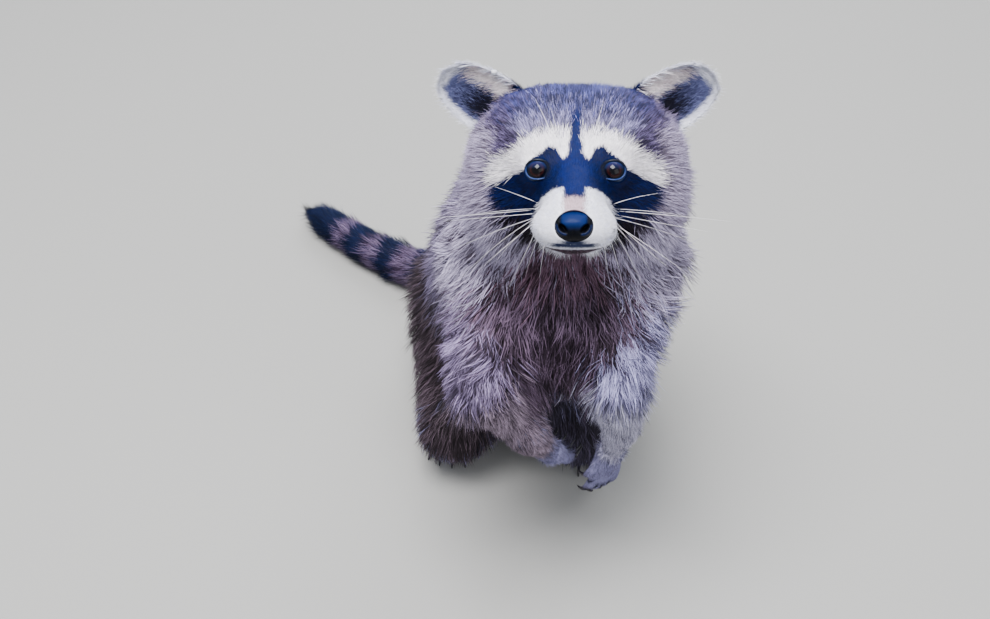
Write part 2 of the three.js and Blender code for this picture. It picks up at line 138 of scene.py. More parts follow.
def smooth_noise(points: Array, scale: float, seed: int) -> Array:
    """A smooth bumpy field: the mean of a few sine waves in fixed random directions.

    Args:
        points: Places, in metres.
        scale: Wavelength, in millimetres.
        seed: Picks the directions.

    Returns:
        Values from about -1 to 1.
    """
    rng = np.random.default_rng(seed)
    total = np.zeros(len(points))
    for _ in range(6):
        wave = unit(rng.normal(size=3)) * rng.uniform(0.7, 1.5) * 2.0 * math.pi / (scale * MM)
        total += np.sin(points @ wave + rng.uniform(0.0, 6.28))
    return total / 3.0


def along_stretch(points: Array, start: Array, end: Array, most: float = 1.0) -> tuple:
    """Nearest place to each point on the straight stretch between two places.

    Args:
        points: The points.
        start: Where the stretch starts.
        end: Where it ends.
        most: How far on it goes, as a share of the way from start to end.

    Returns:
        Share of the way at the nearest place, and the distance to it.
    """
    step = end - start
    share = np.clip((points - start) @ step / (step @ step), 0.0, most)
    return share, np.linalg.norm(points - start - share[:, None] * step, axis=1)


def face_outwards(obj: bpy.types.Object, close: bool = False) -> None:
    """Turn all the faces of a closed mesh outwards.

    Args:
        obj: The object.
        close: Whether its holes are filled first.
    """
    net = bmesh.new()
    net.from_mesh(obj.data)
    if close:
        bmesh.ops.holes_fill(net, edges=[edge for edge in net.edges if edge.is_boundary], sides=0)
    bmesh.ops.recalc_face_normals(net, faces=net.faces)
    net.to_mesh(obj.data)
    net.free()


def mesh_object(
    name: str, verts: Array, faces: Array, finish: "Finish | None" = None
) -> bpy.types.Object:
    """Make a smooth-shaded object from arrays.

    Args:
        name: Name of the object.
        verts: Corner places, in metres.
        faces: Rows of corner numbers, all of one length.
        finish: What it is finished with.

    Returns:
        The new object, linked to the scene.
    """
    count, sides = faces.shape
    mesh = bpy.data.meshes.new(name)
    mesh.vertices.add(len(verts))
    mesh.vertices.foreach_set("co", np.asarray(verts, dtype=np.float32).ravel())
    mesh.loops.add(count * sides)
    mesh.loops.foreach_set("vertex_index", faces.astype(np.int32).ravel())
    mesh.polygons.add(count)
    mesh.polygons.foreach_set("loop_start", np.arange(0, count * sides, sides, dtype=np.int32))
    mesh.polygons.foreach_set("use_smooth", np.ones(count, dtype=bool))
    mesh.update(calc_edges=True)
    obj = bpy.data.objects.new(name, mesh)
    bpy.context.scene.collection.objects.link(obj)
    if finish is not None:
        mesh.materials.append(finish.material())
    return obj


def colour_points(mesh: bpy.types.Mesh, colours: Array, name: str = "Coat") -> None:
    """Store one colour at each corner of a mesh.

    Args:
        mesh: The mesh.
        colours: Linear colours, one for each vertex.
        name: Name of the attribute.
    """
    layer = mesh.attributes.new(name, "FLOAT_COLOR", "POINT")
    rgba = np.ones((len(colours), 4), dtype=np.float32)
    rgba[:, :3] = colours
    layer.data.foreach_set("color", rgba.ravel())


def grid_faces(rows: int, columns: int, wrap: bool = True) -> Array:
    """Quads of a grid whose vertices are stored row by row.

    Args:
        rows: Number of rows of vertices.
        columns: Number of vertices in a row.
        wrap: Whether the last column joins the first.

    Returns:
        Rows of four vertex numbers.
    """
    i, j = np.meshgrid(np.arange(rows - 1), np.arange(columns if wrap else columns - 1), indexing="ij")
    k = (j + 1) % columns
    quads = np.stack([i * columns + j, i * columns + k, (i + 1) * columns + k, (i + 1) * columns + j], -1)
    return quads.reshape(-1, 4)


def tube_grid(
    path: Array, radius: Array, sides: int, squeeze: float = 1.0
) -> tuple[Array, Array]:
    """A tube: a circle of the given radius at each point of a path, square to it.

    Args:
        path: Points along the middle, in metres.
        radius: Radius at each point, in metres.
        sides: Corners round the tube.
        squeeze: Thickness of the tube upwards as a share of its width.

    Returns:
        Vertices and quads; the ends are closed by rings of no size.
    """
    along = unit(np.gradient(path, axis=0))
    across = unit(np.cross(along, np.array([0.13, 0.21, 0.97])))
    up = np.cross(along, across)
    path = np.concatenate([path[:1], path, path[-1:]])
    across, up = (np.concatenate([a[:1], a, a[-1:]]) for a in (across, up))
    radius = np.concatenate([[1e-6], radius, [1e-6]])
    turn = np.linspace(0.0, 2.0 * math.pi, sides, endpoint=False)
    rings = (
        path[:, None]
        + across[:, None] * (radius[:, None] * np.cos(turn))[..., None]
        - up[:, None] * (squeeze * radius[:, None] * np.sin(turn))[..., None]
    )
    return rings.reshape(-1, 3), grid_faces(len(path), sides)


def join_grids(parts: list[tuple[Array, Array]]) -> tuple[Array, Array]:
    """Join vertex and face arrays into one pair.

    Args:
        parts: Pairs of vertices and faces.

    Returns:
        All the vertices, and all the faces counted on.
    """
    starts = np.cumsum([0] + [len(v) for v, _ in parts[:-1]])
    verts = np.concatenate([v for v, _ in parts])
    faces = np.concatenate([f + s for (_, f), s in zip(parts, starts)])
    return verts, faces


# ---------------------------------------------------------------- where things are


@dataclass(frozen=True)
class Anatomy:
    """The body's and the head's own frames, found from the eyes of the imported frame.

    Attributes:
        base: Zero point of the body's frame, in metres.
        origin: Point between the eyes, in metres.
        axes: Rows are the head's x, y and z directions.
    """

    base: Array
    origin: Array
    axes: Array

    @classmethod
    def from_frame(cls) -> "Anatomy":
        """Work the frames out from the two eyes.

        Returns:
            The anatomy.
        """
        left, right = (np.mean(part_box(name), axis=0) for name in ("eye_left", "eye_right"))
        back = np.array([0.0, math.cos(HEAD_TILT), -math.sin(HEAD_TILT)])
        side = unit(left - right)
        axes = np.stack([side, back, np.cross(side, back)])
        origin = (left + right) / 2.0 - EYE_SETBACK * MM * back
        base = origin - np.array([HEAD_SHIFT, 0.0, EYE_LEVEL]) * MM
        return cls(base, origin, axes)

    def on_body(self, places: Array) -> Array:
        """Turn millimetres in the body's frame into metres."""
        return self.base + np.asarray(places, dtype=float) * MM

    def on_head(self, places: Array) -> Array:
        """Turn millimetres in the head's frame into metres."""
        return self.origin + (np.asarray(places, dtype=float) * MM) @ self.axes

    def to_head(self, points: Array) -> Array:
        """Turn metres into millimetres in the head's frame."""
        return (points - self.origin) @ self.axes.T / MM

    def face_plane(self, local: Array) -> tuple[Array, Array]:
        """Flatten places on the head on to the plane in which the face's pattern is laid out.

        The plane stands square to a line of sight that drops 15 degrees towards the face, and what
        is nearer along that line is drawn larger, as eye distance over distance.

        Args:
            local: Places on the head, in millimetres.

        Returns:
            Distances to the left and upwards, in millimetres at the eyes.
        """
        drop_cos, drop_sin = math.cos(SIGHT_DROP), math.sin(SIGHT_DROP)
        far = local[:, 1] * drop_cos - local[:, 2] * drop_sin
        scale = SIGHT_RANGE / (SIGHT_RANGE + far)
        up = local[:, 2] * drop_cos + local[:, 1] * drop_sin
        return local[:, 0] * scale, up * scale

    def from_face_plane(self, across: float, up: float, back: float) -> Array:
        """Find the place on the head that a point of the face plane and a depth name.

        Args:
            across: Distance to the left on the plane.
            up: Distance up on the plane.
            back: The place's y on the head.

        Returns:
            The place on the head, in millimetres.
        """
        drop_cos, drop_sin = math.cos(SIGHT_DROP), math.sin(SIGHT_DROP)
        scale = SIGHT_RANGE / (SIGHT_RANGE + back * drop_cos - up * drop_sin)
        return np.array([across / scale, back, (up / scale - back * drop_sin) / drop_cos])


EAR_SHARES = (0.0, 0.287, 0.551, 0.769, 0.923, 1.0)
EAR_HALF = (20.0, 21.5, 20.0, 16.6, 11.2, 2.8)
EAR_LEAN = (4.0, 3.2, 1.3, 0.2, 0.0, 0.0)


@dataclass(frozen=True)
class EarShape:
    """One ear as a cupped leaf on an axis from root to tip, in the head's frame.

    Attributes:
        out: 1 on the animal's left and -1 on its right.
        root: Where the axis starts, for the left ear.
        tip: Where it ends, for the left ear.
        across: Direction from the outer to the inner edge, for the left ear.
    """

    out: float
    root: tuple[float, float, float] = (49.0, 58.0, 24.0)
    tip: tuple[float, float, float] = (87.0, 48.0, 58.0)
    across: tuple[float, float, float] = (-0.72, -0.12, 0.69)

    def directions(self) -> tuple[Array, Array, Array, Array]:
        """The leaf's own frame.

        Returns:
            The root, the axis as a vector, and the unit directions across and out of its back.
        """
        flip = np.array([self.out, 1.0, 1.0])
        root, tip, across = (np.array(v) * flip for v in (self.root, self.tip, self.across))
        along = tip - root
        across = unit(across - along * (across @ along) / (along @ along))
        back = unit(np.cross(across, along))
        return root, along, across, back * (1.0 if back[1] > 0 else -1.0)

    def coordinates(self, local: Array) -> tuple[Array, Array]:
        """Share of the way from root to tip, and from the outer edge (-1) to the inner one (1).

        Args:
            local: Places on the head, in millimetres.

        Returns:
            The two shares.
        """
        root, along, across, _ = self.directions()
        share = (local - root) @ along / (along @ along)
        half, lean = (np.interp(share, EAR_SHARES, values) for values in (EAR_HALF, EAR_LEAN))
        return share, ((local - root) @ across - lean) / half

    def edge(self, share: float, side: float) -> Array:
        """The place on the head at a share of the way up and a share across.

        Args:
            share: Share of the way from root to tip.
            side: From the outer edge, -1, to the inner one, 1.

        Returns:
            The place, in millimetres.
        """
        root, along, across, _ = self.directions()
        half, lean = (np.interp(share, EAR_SHARES, values) for values in (EAR_HALF, EAR_LEAN))
        return root + share * along + (lean + side * half) * across


# ---------------------------------------------------------------- colours of the coat


class Zone(Enum):
    """Parts of the coat, each with a dark and a light hair colour and the share of light hairs."""

    CROWN = ((0, 1, 9), (84, 88, 158), 0.20)
    FOREHEAD = ((3, 3, 16), (176, 170, 228), 0.27)
    BROW = ((206, 200, 218), (254, 252, 255), 0.82)
    MASK = ((0, 7, 36), (1, 20, 82), 0.30)
    BRIDGE = ((0, 10, 58), (0, 24, 88), 0.45)
    CHEEK = ((54, 43, 52), (192, 182, 218), 0.50)
    JOWL = ((1, 0, 1), (38, 27, 46), 0.17)
    MUZZLE = ((192, 194, 224), (246, 247, 255), 0.74)
    NOSE_PATCH = ((112, 90, 102), (206, 184, 196), 0.54)
    # Chin: the grey band round the mouth, partly its own darker hair and partly painted shade at the mouth
    # line.
    CHIN = ((10, 16, 34), (62, 72, 108), 0.35)
    TEMPLE = ((1, 1, 5), (122, 109, 156), 0.22)
    THROAT = ((20, 10, 14), (142, 110, 134), 0.24)
    CHEST = ((9, 4, 7), (130, 108, 136), 0.26)
    SIDE = ((34, 23, 31), (220, 211, 248), 0.46)
    # The right arm and forearm are painted darker than the left ones: painted shade on the animal's right
    # side.
    ARM = ((33, 29, 50), (190, 187, 240), 0.48)
    ARM_RIGHT = ((22, 14, 22), (178, 160, 208), 0.40)
    FOREARM = ((30, 28, 54), (228, 225, 255), 0.54)
    FOREARM_RIGHT = ((9, 5, 7), (198, 176, 202), 0.28)
    FLANK = ((26, 20, 32), (158, 146, 186), 0.38)
    HAUNCH = ((17, 13, 16), (108, 92, 106), 0.31)
    BELLY = ((20, 17, 25), (100, 92, 118), 0.32)
    TAIL_DARK = ((2, 10, 32), (20, 32, 74), 0.30)
    TAIL_LIGHT = ((40, 28, 48), (128, 112, 146), 0.46)
    EAR_RIM = ((176, 178, 218), (244, 246, 255), 0.86)
    EAR_BAND = ((172, 138, 160), (255, 250, 252), 0.82)
    EAR_INSIDE = ((24, 27, 59), (131, 137, 193), 0.42)
    EAR_HOLLOW = ((1, 1, 7), (22, 21, 52), 0.20)
    EAR_BACK = ((30, 24, 36), (120, 108, 134), 0.40)
    PAW = ((34, 32, 54), (164, 162, 210), 0.48)
    DIGIT = ((20, 18, 32), (130, 120, 160), 0.38)
    # Painted shade in the gaps between the digits.
    BETWEEN = ((2, 3, 8), (14, 16, 28), 0.20)


ZONES = list(Zone)


def zone_table() -> tuple[Array, Array, Array]:
    """Linear dark colours, linear light colours and shares of light hairs, one row for each zone."""
    dark, light, share = zip(*[zone.value for zone in ZONES])
    return linear(dark), linear(light), np.array(share)


@dataclass(frozen=True)
class Station:
    """What the coat is like at one place: between stations everything blends smoothly.

    Attributes:
        place: Where, in millimetres.
        lie: Which way the hairs point.
        depth: How far the coat's surface stands off the skin.
        length: Length of the hairs.
        zone: Their colours.
    """

    place: tuple[float, float, float]
    lie: tuple[float, float, float]
    depth: float
    length: float
    zone: Zone


def stations(*rows: tuple) -> list[Station]:
    """Make stations from rows of place, lie, depth, length and zone."""
    return [Station(*row) for row in rows]


HEAD_STATIONS = stations(
    ((0, -40, -12), (0, 1, 0.4), 0.8, 2.8, Zone.BRIDGE),
    ((0, -8, 6), (0, 0.8, 0.6), 1.2, 3.8, Zone.BRIDGE),
    ((0, 14, 32), (0, 0.9, 0.5), 2.6, 6.5, Zone.FOREHEAD),
    ((0, 50, 46), (0, 1, -0.1), 4.5, 11.0, Zone.CROWN),
    ((0, 85, 26), (0, 0.8, -0.6), 8.0, 20.0, Zone.FLANK),
)
SIDE_STATIONS = stations(
    ((24, -2, 14), (0.35, 0.45, 0.8), 1.6, 4.6, Zone.BROW),
    ((30, 14, 32), (0.35, 0.7, 0.5), 2.6, 6.5, Zone.FOREHEAD),
    ((45, 14, 14), (0.8, 0.5, 0.3), 3.0, 7.5, Zone.TEMPLE),
    ((24, -5, 8), (0.3, 0.3, 0.9), 1.0, 3.0, Zone.MASK),
    ((24, -5, -9), (0.6, 0.3, -0.75), 1.0, 3.2, Zone.MASK),
    ((11, -10, -2), (0.0, 0.7, 0.6), 1.0, 3.4, Zone.MASK),
    ((42, 8, -12), (0.9, 0.5, -0.3), 3.0, 8.0, Zone.MASK),
    ((34, 4, -32), (0.6, 0.4, -0.8), 5.5, 15.0, Zone.JOWL),
    ((62, 24, -18), (0.7, 0.6, -0.45), 8.0, 19.0, Zone.CHEEK),
    ((70, 44, -22), (0.35, 0.8, -0.55), 12.0, 28.0, Zone.CHEEK),
    ((62, 28, 10), (0.6, 0.8, -0.1), 5.5, 13.0, Zone.CHEEK),
    ((60, 62, 18), (0.2, 0.9, -0.3), 7.0, 16.0, Zone.FLANK),
    ((48, 34, 34), (0.6, 0.7, 0.3), 2.8, 7.0, Zone.TEMPLE),
    ((22, -32, -30), (0.85, 0.5, -0.25), 0.9, 4.0, Zone.MUZZLE),
    ((20, -14, -20), (0.5, 0.8, -0.1), 1.4, 4.5, Zone.MUZZLE),
    ((7, -47, -33), (0.85, 0.4, 0.1), 0.4, 1.8, Zone.MUZZLE),
    ((7, -45, -42), (0.2, 0.95, -0.1), 0.4, 1.8, Zone.MUZZLE),
    ((8, -32, -47), (0.3, 0.8, -0.5), 1.0, 4.0, Zone.THROAT),
    ((8, -8, -58), (0.15, 0.6, -0.8), 5.0, 13.0, Zone.THROAT),
    ((26, 4, -52), (0.5, 0.5, -0.7), 7.0, 17.0, Zone.JOWL),
    ((48, 30, -50), (0.4, 0.5, -0.8), 11.0, 27.0, Zone.SIDE),
)
BODY_STATIONS = stations(
    ((-4, 4, 318), (0.0, -0.2, -1), 14, 36, Zone.THROAT),
    ((14, -12, 284), (0.5, -0.15, -0.85), 15, 38, Zone.THROAT),
    ((-30, -12, 284), (-0.5, -0.15, -0.85), 15, 38, Zone.THROAT),
    ((-12, -24, 240), (0.0, -0.15, -1), 15, 36, Zone.CHEST),
    ((-14, -18, 196), (0.0, 0.1, -1), 9, 24, Zone.CHEST),
    ((44, -2, 298), (0.4, -0.15, -0.9), 13, 34, Zone.SIDE),
    ((-60, -2, 298), (-0.4, -0.15, -0.9), 13, 34, Zone.SIDE),
    ((22, -26, 250), (0.5, -0.2, -0.85), 14, 35, Zone.CHEST),
    ((-46, -26, 250), (-0.5, -0.2, -0.85), 14, 35, Zone.CHEST),
    ((76, 30, 268), (0.3, 0.1, -1), 13, 34, Zone.SIDE),
    ((-98, 30, 268), (-0.3, 0.1, -1), 13, 34, Zone.SIDE),
    # On the right the arms take the darker coat, painted shade on that side.
    ((44, -46, 232), (0.1, -0.35, -0.95), 8, 22, Zone.ARM),
    ((-70, -52, 230), (-0.05, -0.35, -0.95), 8, 22, Zone.ARM_RIGHT),
    ((62, -16, 220), (0.1, 0.2, -1), 8, 22, Zone.ARM),
    ((-88, -18, 218), (0.0, 0.2, -1), 8, 22, Zone.ARM_RIGHT),
    ((36, -44, 185), (0.0, 0.0, -1), 3.5, 12, Zone.FOREARM),
    ((-50, -48, 185), (0.45, 0.1, -0.9), 3.5, 12, Zone.FOREARM_RIGHT),
    ((36, -32, 140), (-0.05, 0.05, -1), 1.4, 7, Zone.FOREARM),
    ((34, -20, 122), (-0.1, 0.05, -1), 0.8, 5.5, Zone.PAW),
    ((-22, -36, 140), (0.5, 0.1, -0.9), 1.4, 7, Zone.FOREARM_RIGHT),
    ((-14, -26, 124), (0.5, 0.3, -0.9), 0.8, 5.5, Zone.PAW),
    ((28, -28, 100), (-0.3, 0.05, -1), 0.4, 3.2, Zone.PAW),
    ((-6, -12, 105), (0.3, 0.5, -0.9), 0.4, 3.2, Zone.PAW),
    ((-106, 62, 236), (-0.1, 0.3, -0.95), 13, 34, Zone.FLANK),
    ((-10, 126, 330), (0.0, 0.6, -0.8), 14, 38, Zone.FLANK),
    ((-24, 184, 250), (-0.05, 0.35, -0.95), 15, 40, Zone.FLANK),
    ((-42, 234, 150), (-0.05, 0.15, -1), 15, 40, Zone.FLANK),
    ((-50, 256, 80), (-0.2, 0.4, -0.9), 14, 36, Zone.HAUNCH),
    ((56, 96, 250), (0.05, 0.3, -0.95), 14, 38, Zone.FLANK),
    ((-100, 92, 250), (-0.05, 0.3, -0.95), 14, 36, Zone.FLANK),
    ((48, 130, 170), (0.0, 0.2, -1), 14, 38, Zone.FLANK),
    ((-116, 130, 170), (0.0, 0.2, -1), 14, 38, Zone.FLANK),
    ((50, 170, 90), (0.1, -0.1, -1), 12, 32, Zone.HAUNCH),
    ((-138, 170, 90), (-0.1, -0.1, -1), 12, 32, Zone.HAUNCH),
    ((46, 100, 70), (0.1, -0.4, -0.9), 10, 26, Zone.HAUNCH),
    ((-122, 96, 70), (-0.1, -0.4, -0.9), 10, 26, Zone.HAUNCH),
    ((10, 38, 50), (0.0, -0.1, -1), 8, 22, Zone.BELLY),
    ((-88, 32, 50), (0.0, -0.1, -1), 8, 22, Zone.HAUNCH),
    ((-34, 40, 120), (0.0, 0.05, -1), 10, 28, Zone.BELLY),
    ((-34, 44, 60), (0.0, 0.1, -1), 9, 24, Zone.BELLY),
    ((20, 84, 14), (0.0, -1, -0.1), 0.6, 5, Zone.PAW),
    ((-94, 82, 14), (0.0, -1, -0.1), 0.6, 5, Zone.PAW),
    ((-40, 160, 0), (0.0, 0.6, 0.0), 3, 12, Zone.BELLY),
)
TAIL_KNOTS = [(-70, 238, 44), (-112, 267, 27), (-158, 284, 20.5), (-204, 312, 17.5), (-270, 362, 15)]


class Part(Enum):
    """Which named pieces of the frame each part of the skin comes from."""

    FACE = ("muzzle", "lower_jaw")
    HEAD = ("head",)
    EARS = ("ear_left", "ear_right")
    NECK = ("neck",)
    CHEST = ("chest", "upper_arm_left", "upper_arm_right")
    ABDOMEN = ("abdomen",)
    THIGHS = ("thigh_left", "thigh_right")
    FOREARMS = ("forearm_left", "forearm_right")
    FOREPAWS = ("forepaw_left", "forepaw_right")
    HINDPAWS = ("hindpaw_left", "hindpaw_right")
    TAIL = ("tail_base", "tail_middle", "tail_tip")


PARTS = list(Part)


def belongs(numbers: Array, *parts: Part) -> Array:
    """Which of the part numbers stand for one of the parts."""
    return np.isin(numbers, [PARTS.index(part) for part in parts])


@dataclass
class Coat:
    """Fields over the body that say how the coat lies and what colour it is.

    Attributes:
        anatomy: The frames of body and head.
        places: Stations, in metres.
        lies: Their directions.
        sizes: Their depth and length, in metres.
        zones: Their colours, as one row of zone shares each.
    """

    anatomy: Anatomy
    places: Array = field(init=False)
    lies: Array = field(init=False)
    sizes: Array = field(init=False)
    zones: Array = field(init=False)

    def __post_init__(self) -> None:
        """Put all the stations in one frame, with the head's side ones on both sides."""
        mirrored = [
            Station((-s.place[0], *s.place[1:]), (-s.lie[0], *s.lie[1:]), s.depth, s.length, s.zone)
            for s in SIDE_STATIONS
        ]
        head = HEAD_STATIONS + SIDE_STATIONS + mirrored
        everyone = head + BODY_STATIONS
        on_head = self.anatomy.on_head([s.place for s in head])
        on_body = self.anatomy.on_body([s.place for s in BODY_STATIONS])
        self.places = np.concatenate([on_head, on_body])
        turned = np.array([s.lie for s in head], dtype=float) @ self.anatomy.axes
        self.lies = unit(np.concatenate([turned, [s.lie for s in BODY_STATIONS]]))
        self.sizes = np.array([[s.depth, s.length] for s in everyone]) * MM
        self.zones = np.array([[float(s.zone is z) for z in ZONES] for s in everyone])

    def blend(self, points: Array) -> tuple[Array, Array, Array]:
        """Blend the stations by the inverse fourth power of distance, a block of places at a time.

        Args:
            points: Places on the coat's surface, in metres.

        Returns:
            Lie, sizes and zone shares at each place.
        """
        fields = []
        for block in np.array_split(points, len(points) // BLEND_BLOCK + 1):
            square = ((block[:, None] - self.places) ** 2).sum(-1) + (BLEND_CORE * MM) ** 2
            weight = square**-2.0
            weight /= weight.sum(1, keepdims=True)
            fields.append((weight @ self.lies, weight @ self.sizes, weight @ self.zones))
        return tuple(np.concatenate(rows) for rows in zip(*fields))

    def tail_run(self, points: Array) -> tuple[Array, Array]:
        """How far along the tail each place is, from the root.

        Args:
            points: Places, in metres.

        Returns:
            Distance along the tail in millimetres, and its direction there.
        """
        knots = self.anatomy.on_body(TAIL_KNOTS)
        best = np.full(len(points), np.inf)
        run = np.zeros(len(points))
        way = np.zeros((len(points), 3))
        gone = 0.0
        for start, end in zip(knots[:-1], knots[1:]):
            length = np.linalg.norm(end - start)
            share, away = along_stretch(points, start, end)
            near = away < best
            best[near] = away[near]
            run[near] = gone + share[near] * length / MM
            way[near] = (end - start) / length
            gone += length / MM
        return run, way

    def shares(self, points: Array, normals: Array, parts: Array) -> Array:
        """Zone shares at each place: stations first, then the drawn pattern over them.

        Args:
            points: Places on the coat's surface, in metres.
            normals: Outward directions there.
            parts: Numbers of the parts they belong to.

        Returns:
            One row of zone shares for each place.
        """
        zones = np.maximum(self.blend(points)[2] - LEAST_SHARE, 0.0)
        zones /= zones.sum(1, keepdims=True)
        local = self.anatomy.to_head(points)
        on_face = belongs(parts, Part.FACE, Part.HEAD)
        self._face(zones, local, on_face)
        self._ears(zones, local, normals, belongs(parts, Part.EARS), on_face)
        self._tail(zones, points, belongs(parts, Part.TAIL))
        self._digits(zones, points, parts)
        return zones

    @staticmethod
    def _layer(zones: Array, zone: Zone, cover: Array) -> None:
        """Paint a zone over the shares in place, as far as cover says, from 0 to 1."""
        zones *= (1.0 - cover)[:, None]
        zones[:, ZONES.index(zone)] += cover

    def _face(self, zones: Array, local: Array, on_face: Array) -> None:
        """Brows, mask, stripe and muzzle, as bands between curves on the face plane.

        Args:
            zones: Zone shares, changed in place.
            local: Places on the head, in millimetres.
            on_face: Which places belong to the head.
        """
        across, up = self.anatomy.face_plane(local)
        side = np.abs(across)
        wave = 0.6 * smooth_noise(local * MM, 9.0, 3)
        front = on_face * ramp(66.0, 52.0, local[:, 1])
        mask_top = np.interp(
            side,
            [0, 8.3, 10.4, 12.2, 17.8, 20.5, 25, 29.9, 35, 45, 54, 59, 64],
            [9, 6.9, 9.5, 15.0, 16.0, 13.2, 10.2, 6.2, 0.9, -4.2, -8.0, -8.0, -7.0],
        )
        mask_foot = np.interp(
            side,
            [0, 5.5, 8, 10.2, 15, 20, 25, 27.3, 32, 41, 54, 57.5],
            [-23.5, -22.5, -17.5, -13.4, -13.8, -17.5, -24.5, -29.5, -30, -28, -22.5, -13],
        )
        brow_top = np.interp(side, [0, 5.7, 17, 38, 57, 62, 66], [27, 26.5, 24.5, 16, 5.0, -2.0, -9.0])
        brow = ramp(-1.4, 1.0, up - mask_top + wave) * ramp(7.0, -5.0, up - brow_top + 2 * wave)
        brow = brow * ramp(63.0, 54.0, side)
        mask = ramp(1.1, -1.1, up - mask_top + wave) * ramp(-1.4, 1.4, up - mask_foot + wave)
        mask = mask * ramp(58.5, 55.0, side)
        stripe_half = np.interp(up, [5, 7, 11.8, 24.5, 39, 44, 50], [9, 8.0, 5.0, 3.2, 3.0, 2.6, 2.0])
        stripe = ramp(1.5, -1.5, side - stripe_half + 0.6 * wave)
        stripe = stripe * ramp(50.0, 34.0, up) * ramp(-24.5, -19.5, up)
        white_half = np.interp(
            up,
            [-55, -52.6, -49.5, -46.5, -43, -39.5, -34, -29, -24, -19, -15.5, -13.4, -12.6],
            [6, 9.5, 15.5, 20.5, 24, 26.5, 27.7, 27.5, 26.2, 23.4, 18.6, 13, 9],
        )
        white = ramp(1.2, -1.2, side - white_half + wave) * ramp(-52.6, -51.0, up) * ramp(-11.8, -14.4, up)
        white = white * ramp(5.5, 9.5, side + ramp(-20.5, -27.0, up) * 10.0)
        patch = ramp(10.0, 5.5, side + wave) * ramp(-18.0, -23.0, up) * ramp(-34.0, -30.0, up)
        lower = local[:, 2]
        chin = ramp(19.0, 11.0, side) * ramp(-36.0, -37.0, lower) * ramp(-41.0, -38.6, lower)
        chin = np.maximum(chin, ramp(13.0, 4.0, side) * ramp(-33.4, -35.2, lower) * ramp(-37.6, -36.6, lower))
        under = ramp(-40.6, -41.8, lower) * ramp(36.0, 28.0, side) * ramp(6.0, -4.0, local[:, 1])
        inner = ramp(15.0, 6.0, side) * mask
        cover = front * ramp(40.0, 30.0, np.abs(local[:, 1] - 6.0) - 12.0)
        undermask = ramp(0.0, -5.0, up - mask_foot) * ramp(-46.0, -33.0, up) * ramp(50.0, 34.0, side)
        self._layer(zones, Zone.CROWN, front * ramp(30.0, 46.0, up + wave) * ramp(62.0, 40.0, side) * 0.75)
        self._layer(zones, Zone.JOWL, undermask * front * ramp(18.0, 25.0, side) * 0.9)
        self._layer(zones, Zone.BROW, brow * front)
        self._layer(zones, Zone.MASK, mask * front)
        self._layer(zones, Zone.BRIDGE, np.maximum(inner, stripe) * cover)
        self._layer(zones, Zone.MUZZLE, white * front)
        self._layer(zones, Zone.NOSE_PATCH, patch * front)
        self._layer(zones, Zone.THROAT, under * front)
        self._layer(zones, Zone.JOWL, under * front * 0.55)
        # The grey band round the mouth: partly the chin's own darker hair, partly painted shade under the
        # lip.
        self._layer(zones, Zone.CHIN, chin * front * ramp(-26.0, -32.0, local[:, 1]))

    def _ears(
        self, zones: Array, local: Array, normals: Array, on_ear: Array,
        on_head: Array,
    ) -> None:
        """Pale rim, dark hollow and dark patches at the root of each ear.

        Args:
            zones: Zone shares, changed in place.
            local: Places on the head, in millimetres.
            normals: Outward directions.
            on_ear: Which places belong to the ears.
            on_head: Which places belong to the head.
        """
        facing = normals @ self.anatomy.axes.T
        for out in (1.0, -1.0):
            ear = EarShape(out)
            share, side = ear.coordinates(local)
            on = on_ear * (local[:, 0] * out > 0)
            back = facing @ ear.directions()[3]
            rim = np.maximum(ramp(0.74, 0.92, np.abs(side)), ramp(0.84, 0.96, share))
            band = ramp(0.10, 0.55, side) * ramp(0.06, 0.22, share) * ramp(0.95, 0.70, share)
            deep = ramp(-0.95, -0.45, side) * ramp(0.42, 0.05, side - 0.25 * ramp(0.3, 0.0, share))
            deep = deep * ramp(0.88, 0.30, share)
            front = ramp(0.35, -0.1, back)
            self._layer(zones, Zone.EAR_BACK, on)
            self._layer(zones, Zone.EAR_INSIDE, on * front)
            self._layer(zones, Zone.EAR_HOLLOW, on * front * deep)
            self._layer(zones, Zone.EAR_BAND, on * front * band)
            self._layer(zones, Zone.EAR_RIM, on * rim * ramp(0.9, 0.5, back))
            self._layer(zones, Zone.MASK, on * ramp(0.36, 0.22, share) * ramp(0.62, 0.86, side))
            behind = ramp(0.30, 0.12, share) * ramp(-0.2, -0.7, side) * ramp(-0.3, 0.2, back)
            self._layer(zones, Zone.MASK, on * behind)
            corner = np.linalg.norm(local - ear.edge(0.10, 1.0), axis=1)
            self._layer(zones, Zone.MASK, on_head * ramp(13.0, 5.0, corner) * 0.9)

    def _tail(self, zones: Array, points: Array, on_tail: Array) -> None:
        """Rings along the tail, with a dark tip.

        Args:
            zones: Zone shares, changed in place.
            points: Places, in metres.
            on_tail: Which places belong to the tail.
        """
        run, _ = self.tail_run(points)
        run = run + 2.0 * smooth_noise(points, 12.0, 8)
        light = np.zeros(len(points))
        for low, high in TAIL_RINGS:
            light = np.maximum(light, ramp(low - 3, low + 3, run) * ramp(high + 3, high - 3, run))
        self._layer(zones, Zone.TAIL_DARK, on_tail * ramp(20.0, 40.0, run))
        self._layer(zones, Zone.TAIL_LIGHT, on_tail * light)

